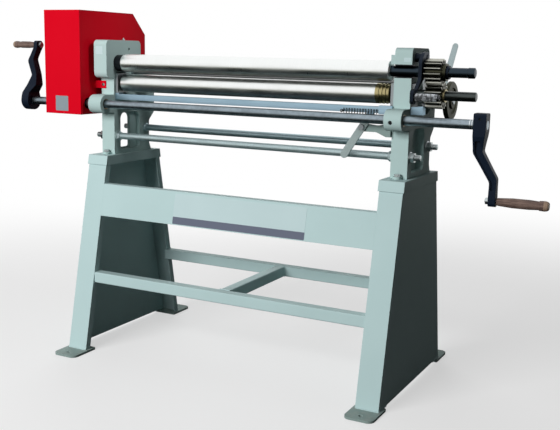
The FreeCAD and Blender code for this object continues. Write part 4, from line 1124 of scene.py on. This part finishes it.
@dataclass
class SideFrames:
    """The two side castings, their tie rods, nuts and bolts."""

    shop: Workshop
    outer: float = 613.0
    inner: float = 555.0
    ties: tuple[tuple[str, float, float], ...] = (("front", -85.0, 796.0), ("rear", 84.0, 818.0))
    thread_start: float = 16.0
    thread_length: float = 19.5
    thread_steps: int = 13
    thread_root: float = 9.15
    thread_crest: float = 9.85
    washer_radius: float = 19.0
    nut_flats: float = 31.0
    nut_height: float = 14.0
    nut_sink: float = 0.2
    plug_place: Point = (-564.0, -12.0, 1121.0)
    nipple_place: Point = (-590.0, -1.0, 1154.0)
    grub_place: Point = (577.5, -184.5, 912.0)
    left_plate: tuple[tuple[float, float], tuple[float, float], float] = (
        (-605.0, -573.0), (1101.0, 1130.0), -150.0)
    right_plate: tuple[tuple[float, float], tuple[float, float], float] = (
        (585.0, 609.0), (1100.0, 1113.0), -107.0)

    def build(self) -> None:
        """Dress the castings and fit washers, threads and plugs."""
        self.shop.dress("casting_paint", "left_frame", "right_frame")
        self.shop.dress("bracket_paint", "lever_bracket")
        self.shop.dress("bronze_bush", "drive_shaft_bushes", "top_roll_left_bush")
        self.shop.dress("blackened", "top_roll_right_liner")
        self.shop.dress("tie_front_steel", "front_tie_rod")
        self.shop.dress("tie_rear_steel", "rear_tie_rod")
        self.shop.dress("zinc_plate", "tie_rod_nuts", "frame_bolts")
        for word, y, z in self.ties:
            for side in (Side.RIGHT, Side.LEFT):
                self.add_tie_end(f"tie_{word}_{side.name.lower()}", side.value, (0.0, y, z),
                                 f"tie_{word}_steel")
        self.add_small_fittings()

    def add_tie_end(self, name: str, way: float, centre: Point, steel: str) -> None:
        """Thread, washer and lock nut of one tie rod end.

        Args:
            name: start of the pieces' names.
            way: sign of the end's X.
            centre: middle of the rod, in millimetres.
            steel: finish of the rod.
        """
        start = self.outer + self.thread_start
        stop = start + self.thread_length
        thread = [(way * (start - 0.5), 8.6)]
        for k in range(self.thread_steps):
            x = start + self.thread_length * k / self.thread_steps
            half_pitch = 0.5 * self.thread_length / self.thread_steps
            thread += [(way * x, self.thread_root), (way * (x + half_pitch), self.thread_crest)]
        thread += [(way * stop, 8.7), (way * (stop + 0.5), 7.6)]
        self.shop.fit(Forge.turned(name + "_thread", thread, centre), "frame", "zinc_plate")
        rim = self.washer_radius
        washer = [(way * (self.outer + along), radius)
                  for along, radius in ((0.1, rim), (2.6, rim), (3.0, rim - 0.8))]
        self.shop.fit(Forge.turned(name + "_washer", washer, centre), "frame", "zinc_plate")
        seat = (way * (self.inner - self.nut_sink), centre[1], centre[2])
        nut = Forge.hexagon(name + "_lock_nut", seat, -way, self.nut_flats, self.nut_height)
        self.shop.fit(nut, "frame", steel)

    def add_small_fittings(self) -> None:
        """Plug, oil nipple, grub screw and the two blank plates on the heads."""
        plug = [(0.0, 4.6), (2.0, 4.6), (2.6, 4.0), (2.6, 2.0), (0.8, 1.8)]
        nipple = [(-2.0, 4.0), (1.5, 4.0), (1.8, 5.6), (4.6, 5.6), (4.9, 3.2), (7.2, 2.6),
                  (8.6, 3.1), (9.6, 2.0), (9.8, 0.8)]
        grub = [(0.0, 6.2), (3.4, 6.2), (4.0, 5.4), (4.0, 3.2), (1.2, 2.8)]
        for piece, finish in (
            (Forge.turned("head_oil_plug", plug, self.plug_place), "brass_ring"),
            (Forge.turned("head_oil_nipple", nipple, self.nipple_place, Axis.Z, 24), "zinc_plate"),
            (Forge.turned("boss_grub_screw", grub, self.grub_place, Axis.Y, 24), "blackened"),
            (Forge.upright_plate("left_head_blank_plate", *self.left_plate), "blank_plate"),
            (Forge.upright_plate("right_head_blank_plate", *self.right_plate), "blank_plate"),
        ):
            self.shop.fit(piece, "frame", finish)


@dataclass
class Rolls:
    """Top, lower and rear rolls with their blocks and gears."""

    shop: Workshop
    top_stub: float = 809.0
    lower_stub: float = 812.0

    def build(self) -> None:
        """Dress rolls, blocks and gears and fit the centre dimples of the shaft stubs."""
        self.shop.dress("ground_roll", "top_roll")
        self.shop.dress("grooved_roll", "lower_roll")
        self.shop.dress("rear_roll_ground", "rear_roll")
        self.shop.dress("blackened", "top_roll_collar")
        self.shop.dress("milled_steel", "lower_bearing_blocks", "rear_bearing_blocks")
        self.shop.dress("top_gear_steel", "top_link_gear")
        self.shop.dress("lower_gear_steel", "lower_link_gear")
        self.shop.dress("drive_gear_steel", "lower_drive_gear")
        self.shop.dress("pinion_steel", "drive_pinion")
        self.shop.dress("dark_milled", "top_gear_ring")
        self.shop.dress("brass_ring", "lower_gear_ring")
        dimple = [(-1.2, 3.9), (-0.1, 3.9), (0.0, 3.5), (-0.9, 2.0)]
        top = Forge.turned("top_stub_centre", dimple, (self.top_stub, *TOP_ROLL_AXIS), count=28)
        self.shop.fit(top, "top_roll_body", "milled_steel")
        lower = Forge.turned("lower_stub_centre", dimple, (self.lower_stub, *LOWER_ROLL_AXIS),
                             count=28)
        self.shop.fit(lower, "lower_roll_body", "milled_steel")


@dataclass
class Drive:
    """Drive shaft, cranks, grips and their fixings."""

    shop: Workshop
    shaft_end: float = 875.9
    screw_x: float = 856.25
    screw_up: float = 18.5
    screw_front: float = 19.0

    def build(self) -> None:
        """Dress the drive and fit its screw and centre."""
        self.shop.dress("drawn_shaft", "drive_shaft")
        self.shop.dress("crank_blue_black", "left_crank", "right_crank")
        self.shop.dress("turned_wood", "left_grip", "right_grip")
        self.shop.dress("milled_steel", "grip_spindles")
        self.shop.dress("zinc_plate", "grip_nuts")
        y, z = SHAFT_AXIS
        head = [(0.0, 3.8), (3.0, 3.8), (3.4, 3.2), (3.4, 1.9), (1.2, 1.7)]
        place = (self.screw_x, y - self.screw_front, z + self.screw_up)
        screw = Forge.turned("right_crank_set_screw", head, place, Axis.Y, 20)
        self.shop.fit(screw, "drive", "blackened")
        dimple = [(-1.0, 3.6), (0.0, 3.6), (0.1, 3.2), (-0.8, 1.8)]
        centre = Forge.turned("drive_shaft_centre", dimple, (self.shaft_end, y, z), count=24)
        self.shop.fit(centre, "drive", "milled_steel")


@dataclass
class LiftGear:
    """Lift bar, lever, spring and guide of the lower roll."""

    shop: Workshop
    spring_y: float = -111.0
    spring_z: float = 937.6265
    spring_left: float = 384.5
    spring_length: float = 120.0
    spring_radius: float = 9.0
    spring_wire: float = 1.0
    spring_turns: float = 12.5
    eye_x: float = 379.0
    eye_radius: float = 4.4
    eye_wire: float = 1.1
    eye_points: int = 16
    tail_wire: float = 1.2
    tail_points: tuple[tuple[float, float], ...] = ((507.5, 7.5), (509.5, 3.0), (511.5, 0.0))

    def build(self) -> None:
        """Dress the lift gear and hook the spring."""
        self.shop.dress("bright_flat", "lift_bar", "bar_guide_block")
        self.shop.dress("lever_flat", "lift_lever")
        self.shop.dress("milled_steel", "lift_bar_pins", "lever_pivot_bolt")
        self.shop.dress("spring_wire", "return_spring")
        y, z = self.spring_y, self.spring_z
        coil = Forge.coil("coiled_spring", (self.spring_left, y, z), self.spring_length,
                          self.spring_radius, self.spring_wire, self.spring_turns)
        self.shop.fit(coil, "frame", "spring_wire")
        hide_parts("return_spring")
        hook: list[Point] = []
        for k in range(self.eye_points + 1):
            turn = FULL_TURN * k / self.eye_points
            hook.append((self.eye_x - self.eye_radius * math.cos(turn), y - 1.0,
                         z + self.eye_radius * math.sin(turn)))
        eye = Forge.bead("spring_front_eye", [hook], self.eye_wire)
        self.shop.fit(eye, "lift_bar_body", "spring_wire")
        hooked = [(x, y, z + up) for x, up in self.tail_points]
        tail = Forge.bead("spring_rear_tail", [hooked], self.tail_wire)
        self.shop.fit(tail, "frame", "spring_wire")


@dataclass
class RearAdjuster:
    """Cam shaft, cams, index disc and hand lever of the rear roll."""

    shop: Workshop

    def build(self) -> None:
        """Dress the adjuster."""
        self.shop.dress("milled_steel", "cam_shaft", "lift_cams")
        self.shop.dress("rear_lever_bar", "rear_lever")
        self.shop.dress("index_disc_steel", "rear_index_disc")


@dataclass
class Latch:
    """Hooked arm in front of the top roll's journal, with a knurled handle."""

    shop: Workshop
    start: float = 652.0
    length: float = 79.0
    radius: float = 12.4
    knurl_start: float = 4.2
    knurl_stop: float = 71.0
    knurl_ridges: float = 8.0
    knurl_depth: float = 2.0
    knurl_width: float = 1.6
    steps: int = 64

    def knurl(self, along: float, angle: float, radius: float) -> float:
        """Coarse diamond knurling over the grip's length.

        Args:
            along: distance from the grip's start, in millimetres.
            angle: angle around it.
            radius: radius without the knurling.

        Returns:
            The radius there, in millimetres.
        """
        if not self.knurl_start <= along <= self.knurl_stop:
            return radius
        twist = along / self.radius
        first = abs(math.sin((angle + twist) * self.knurl_ridges))
        second = abs(math.sin((angle - twist) * self.knurl_ridges))
        return radius - self.knurl_depth * (1.0 - min(1.0, self.knurl_width * min(first, second)))

    def build(self) -> None:
        """Dress the latch and knurl its handle."""
        self.shop.dress("dark_milled", "latch_arm", "latch_pivot_pin")
        full, last = self.radius, self.knurl_stop
        profile = [(0.0, full * 0.80), (3.0, full * 0.80), (4.0, full * 0.90)]
        profile += [(4.5 + (last - 5.0) * k / self.steps, full) for k in range(self.steps + 1)]
        profile += [(last + 0.5, full * 0.93), (self.length - 2.0, full * 0.80),
                    (self.length, full * 0.50)]
        handle = Forge.turned("knurled_latch_handle", profile, (self.start, *LATCH_AXIS), count=112,
                              shape=self.knurl)
        self.shop.fit(handle, "latch_body", "knurled_steel")
        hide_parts("latch_handle")


@dataclass
class GearCover:
    """Folded sheet cover over the left gears."""

    shop: Workshop
    front: float = -197.0
    screw_x: float = -602.0
    front_screw: tuple[float, float] = (-110.0, 988.7)
    rear_screw: tuple[float, float] = (153.0, 971.7)
    plate_x: tuple[float, float] = (-760.0, -700.0)
    plate_z: tuple[float, float] = (888.0, 944.0)

    def build(self) -> None:
        """Dress the cover and fit its screws and blank plate."""
        self.shop.dress("cover_red", "gear_cover", "cover_back_plate")
        head = [(-0.2, 6.4), (0.9, 6.4), (2.6, 5.4), (3.6, 3.4), (3.6, 2.6), (2.0, 2.2)]
        front = Forge.turned("cover_front_screw", [(-along, radius) for along, radius in head],
                             (self.screw_x, *self.front_screw), Axis.Y, 28)
        rear = Forge.turned("cover_rear_screw", head, (self.screw_x, *self.rear_screw), Axis.Y, 28)
        self.shop.fit(front, "frame", "zinc_plate")
        self.shop.fit(rear, "frame", "zinc_plate")
        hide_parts("cover_screws")
        plate = Forge.upright_plate("cover_blank_plate", self.plate_x, self.plate_z, self.front)
        self.shop.fit(plate, "frame", "small_plate")


# ---- studio -------------------------------------------------------------------------------
@dataclass(frozen=True)
class Lamp:
    """A rectangular soft light that isn't seen or mirrored itself, in metres, watts and degrees."""

    name: str
    place: Point
    target: Point
    size: tuple[float, float]
    power: float
    spread: float = 180.0

    def hang(self) -> None:
        """Add the lamp to the scene."""
        data = bpy.data.lights.new(self.name, "AREA")
        data.shape = "RECTANGLE"
        data.size, data.size_y = self.size
        data.energy = self.power
        data.spread = math.radians(self.spread)
        lamp = add_object(self.name, data)
        lamp.location = self.place
        beam = Vector(self.target) - Vector(self.place)
        lamp.rotation_euler = beam.to_track_quat("-Z", "Y").to_euler()
        lamp.visible_glossy = False
        lamp.visible_camera = False


@dataclass
class Studio:
    """Floor, dark card, soft lights, surroundings and camera.

    The card's tones are its colours at distances in front of the machine and behind it. A ray
    depth is the one below which a mirrored look counts as the first.
    """

    lamps: tuple[Lamp, ...] = (
        Lamp("key_softbox", (-1.2, -4.7, 2.4), (0.0, 0.0, 0.75), (2.8, 2.2), 246.0),
        Lamp("cover_softbox", (0.6, -0.25, 1.85), (-0.64, 0.02, 1.18), (0.3, 0.3), 0.55, 44.0),
        Lamp("rear_softbox", (-2.6, 3.8, 1.5), (0.0, 0.0, 0.75), (3.0, 2.2), 120.0),
    )
    floor_half: float = 40.0
    floor_seen: Colour = (0.86, 0.86, 0.86)
    floor_unseen: Colour = (0.09, 0.09, 0.09)
    floor_white: float = 0.57
    floor_depth: float = 1.5
    white_from: float = 1.3
    white_to: float = 4.2
    card_half: float = 9.0
    card_height: float = 0.002
    card_tones: tuple[tuple[float, Colour], ...] = (
        (1.8, (0.006, 0.008, 0.009)),
        (2.7, (0.030, 0.036, 0.024)),
        (3.7, (0.13, 0.15, 0.09)),
        (5.2, (0.52, 0.54, 0.46)),
        (7.5, (1.0, 1.0, 1.0)),
    )
    world_light: float = 0.055
    world_depth: float = 2.5
    camera_place: Point = (1.5487, -2.8169, 1.1200)
    camera_right: Point = (0.88644, 0.46237, 0.02078)
    camera_up: Point = (-0.10110, 0.14965, 0.98355)
    camera_forward: Point = (-0.45165, 0.87397, -0.17940)
    sensor: float = 36.0
    lens: float = 57.2
    shift: float = 0.0042

    def build(self) -> None:
        """Set up everything that isn't the machine."""
        self.add_floor()
        self.add_dark_card()
        for lamp in self.lamps:
            lamp.hang()
        self.set_world()
        self.add_camera()
        bpy.context.scene.view_settings.view_transform = "Standard"

    @staticmethod
    def sheet(name: str, half: float, z: float) -> tuple[bpy.types.Object, Wiring]:
        """Square level sheet about the origin, with an empty material.

        Args:
            name: name of the sheet and its material.
            half: half its width, in metres.
            z: its height.

        Returns:
            The sheet and the nodes of its material.
        """
        mesh = bmesh.new()
        signs = ((-1, -1), (1, -1), (1, 1), (-1, 1))
        mesh.faces.new([mesh.verts.new((a * half, b * half, z)) for a, b in signs])
        made = add_object(name, mesh_from(name, mesh))
        material = bpy.data.materials.new(name)
        material.use_nodes = True
        material.node_tree.nodes.clear()
        made.data.materials.append(material)
        return made, Wiring(material.node_tree)

    @staticmethod
    def seen_directly(nodes: Wiring, depth: float) -> Plug:
        """Value that is 1 for camera and transmission rays and for metal's first mirrored look.

        Args:
            nodes: node tree to add to.
            depth: ray depth below which a mirrored look counts as the first.

        Returns:
            The value.
        """
        path = nodes.add("ShaderNodeLightPath").outputs
        early = nodes.combine("LESS_THAN", path["Ray Depth"], depth)
        mirrored = nodes.times(path["Is Glossy Ray"], early)
        seen = nodes.combine("MAXIMUM", path["Is Camera Ray"], mirrored)
        return nodes.combine("MAXIMUM", seen, path["Is Transmission Ray"])

    def add_floor(self) -> None:
        """Pale floor that keeps the machine's shadow and runs out into white."""
        _, nodes = self.sheet("studio_floor", self.floor_half, 0.0)
        seen = self.seen_directly(nodes, self.floor_depth)
        tone = nodes.mix(seen, self.floor_unseen, self.floor_seen)
        pale = nodes.result("ShaderNodeBsdfDiffuse", "BSDF", {"Color": tone})
        white = nodes.add("ShaderNodeEmission").outputs["Emission"]
        place = nodes.add("ShaderNodeNewGeometry").outputs["Position"]
        away = nodes.ramp(nodes.vector("LENGTH", place), self.white_from, self.white_to)
        share = nodes.ramp(away, 0.0, 1.0, self.floor_white, 1.0, smooth=False)
        inputs = {"Fac": nodes.times(share, seen), 1: pale, 2: white}
        nodes.show(nodes.result("ShaderNodeMixShader", "Shader", inputs))

    def add_dark_card(self) -> None:
        """Dark card on the floor, white towards its edges, that only polished surfaces see."""
        card, nodes = self.sheet("dark_card", self.card_half, self.card_height)
        card.visible_camera = False
        card.visible_diffuse = False
        card.visible_shadow = False
        card.visible_transmission = False
        tone = nodes.add("ShaderNodeValToRGB")
        stops = tone.color_ramp.elements
        first, *between, last = self.card_tones
        for stop, (reach, colour) in zip(stops, (first, last)):
            stop.position = reach / self.card_half
            stop.color = (*colour, 1.0)
        for reach, colour in between:
            stops.new(reach / self.card_half).color = (*colour, 1.0)
        place = nodes.add("ShaderNodeNewGeometry").outputs["Position"]
        reach = nodes.combine("ABSOLUTE", nodes.part(place, "Y"))
        nodes.feed(tone.inputs["Fac"], nodes.combine("DIVIDE", reach, self.card_half))
        glow = {"Color": tone.outputs["Color"]}
        nodes.show(nodes.result("ShaderNodeEmission", "Emission", glow))

    def set_world(self) -> None:
        """White surroundings for what is seen and mirrored, weak ones for what is lit."""
        world = bpy.data.worlds.new("studio")
        bpy.context.scene.world = world
        world.use_nodes = True
        nodes = Wiring(world.node_tree)
        back = world.node_tree.nodes["Background"]
        nodes.feed(back.inputs["Color"], (1.0, 1.0, 1.0))
        seen = self.seen_directly(nodes, self.world_depth)
        level = nodes.ramp(seen, 0.0, 1.0, self.world_light, 1.0, smooth=False)
        nodes.feed(back.inputs["Strength"], level)

    def add_camera(self) -> None:
        """Camera in front of the right-hand end, a little above the rolls."""
        data = bpy.data.cameras.new("camera")
        data.sensor_width = self.sensor
        data.lens = self.lens
        data.shift_x = self.shift
        camera = add_object("camera", data)
        axes = (Vector(self.camera_right), Vector(self.camera_up), -Vector(self.camera_forward))
        turn = Matrix(axes).transposed().to_4x4()
        camera.matrix_world = Matrix.Translation(self.camera_place) @ turn
        bpy.context.scene.camera = camera


def main() -> None:
    """Build every sub-assembly in order, then the studio."""
    logging.basicConfig(level=logging.INFO, format="%(name)s: %(message)s")
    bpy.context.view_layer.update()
    shop = Workshop()
    for assembly in (Stand(shop), SideFrames(shop), Rolls(shop), Drive(shop), LiftGear(shop),
                     RearAdjuster(shop), Latch(shop), GearCover(shop)):
        assembly.build()
        LOG.info("built %s", type(assembly).__name__)
    Studio().build()


if __name__ == "__main__":
    main()
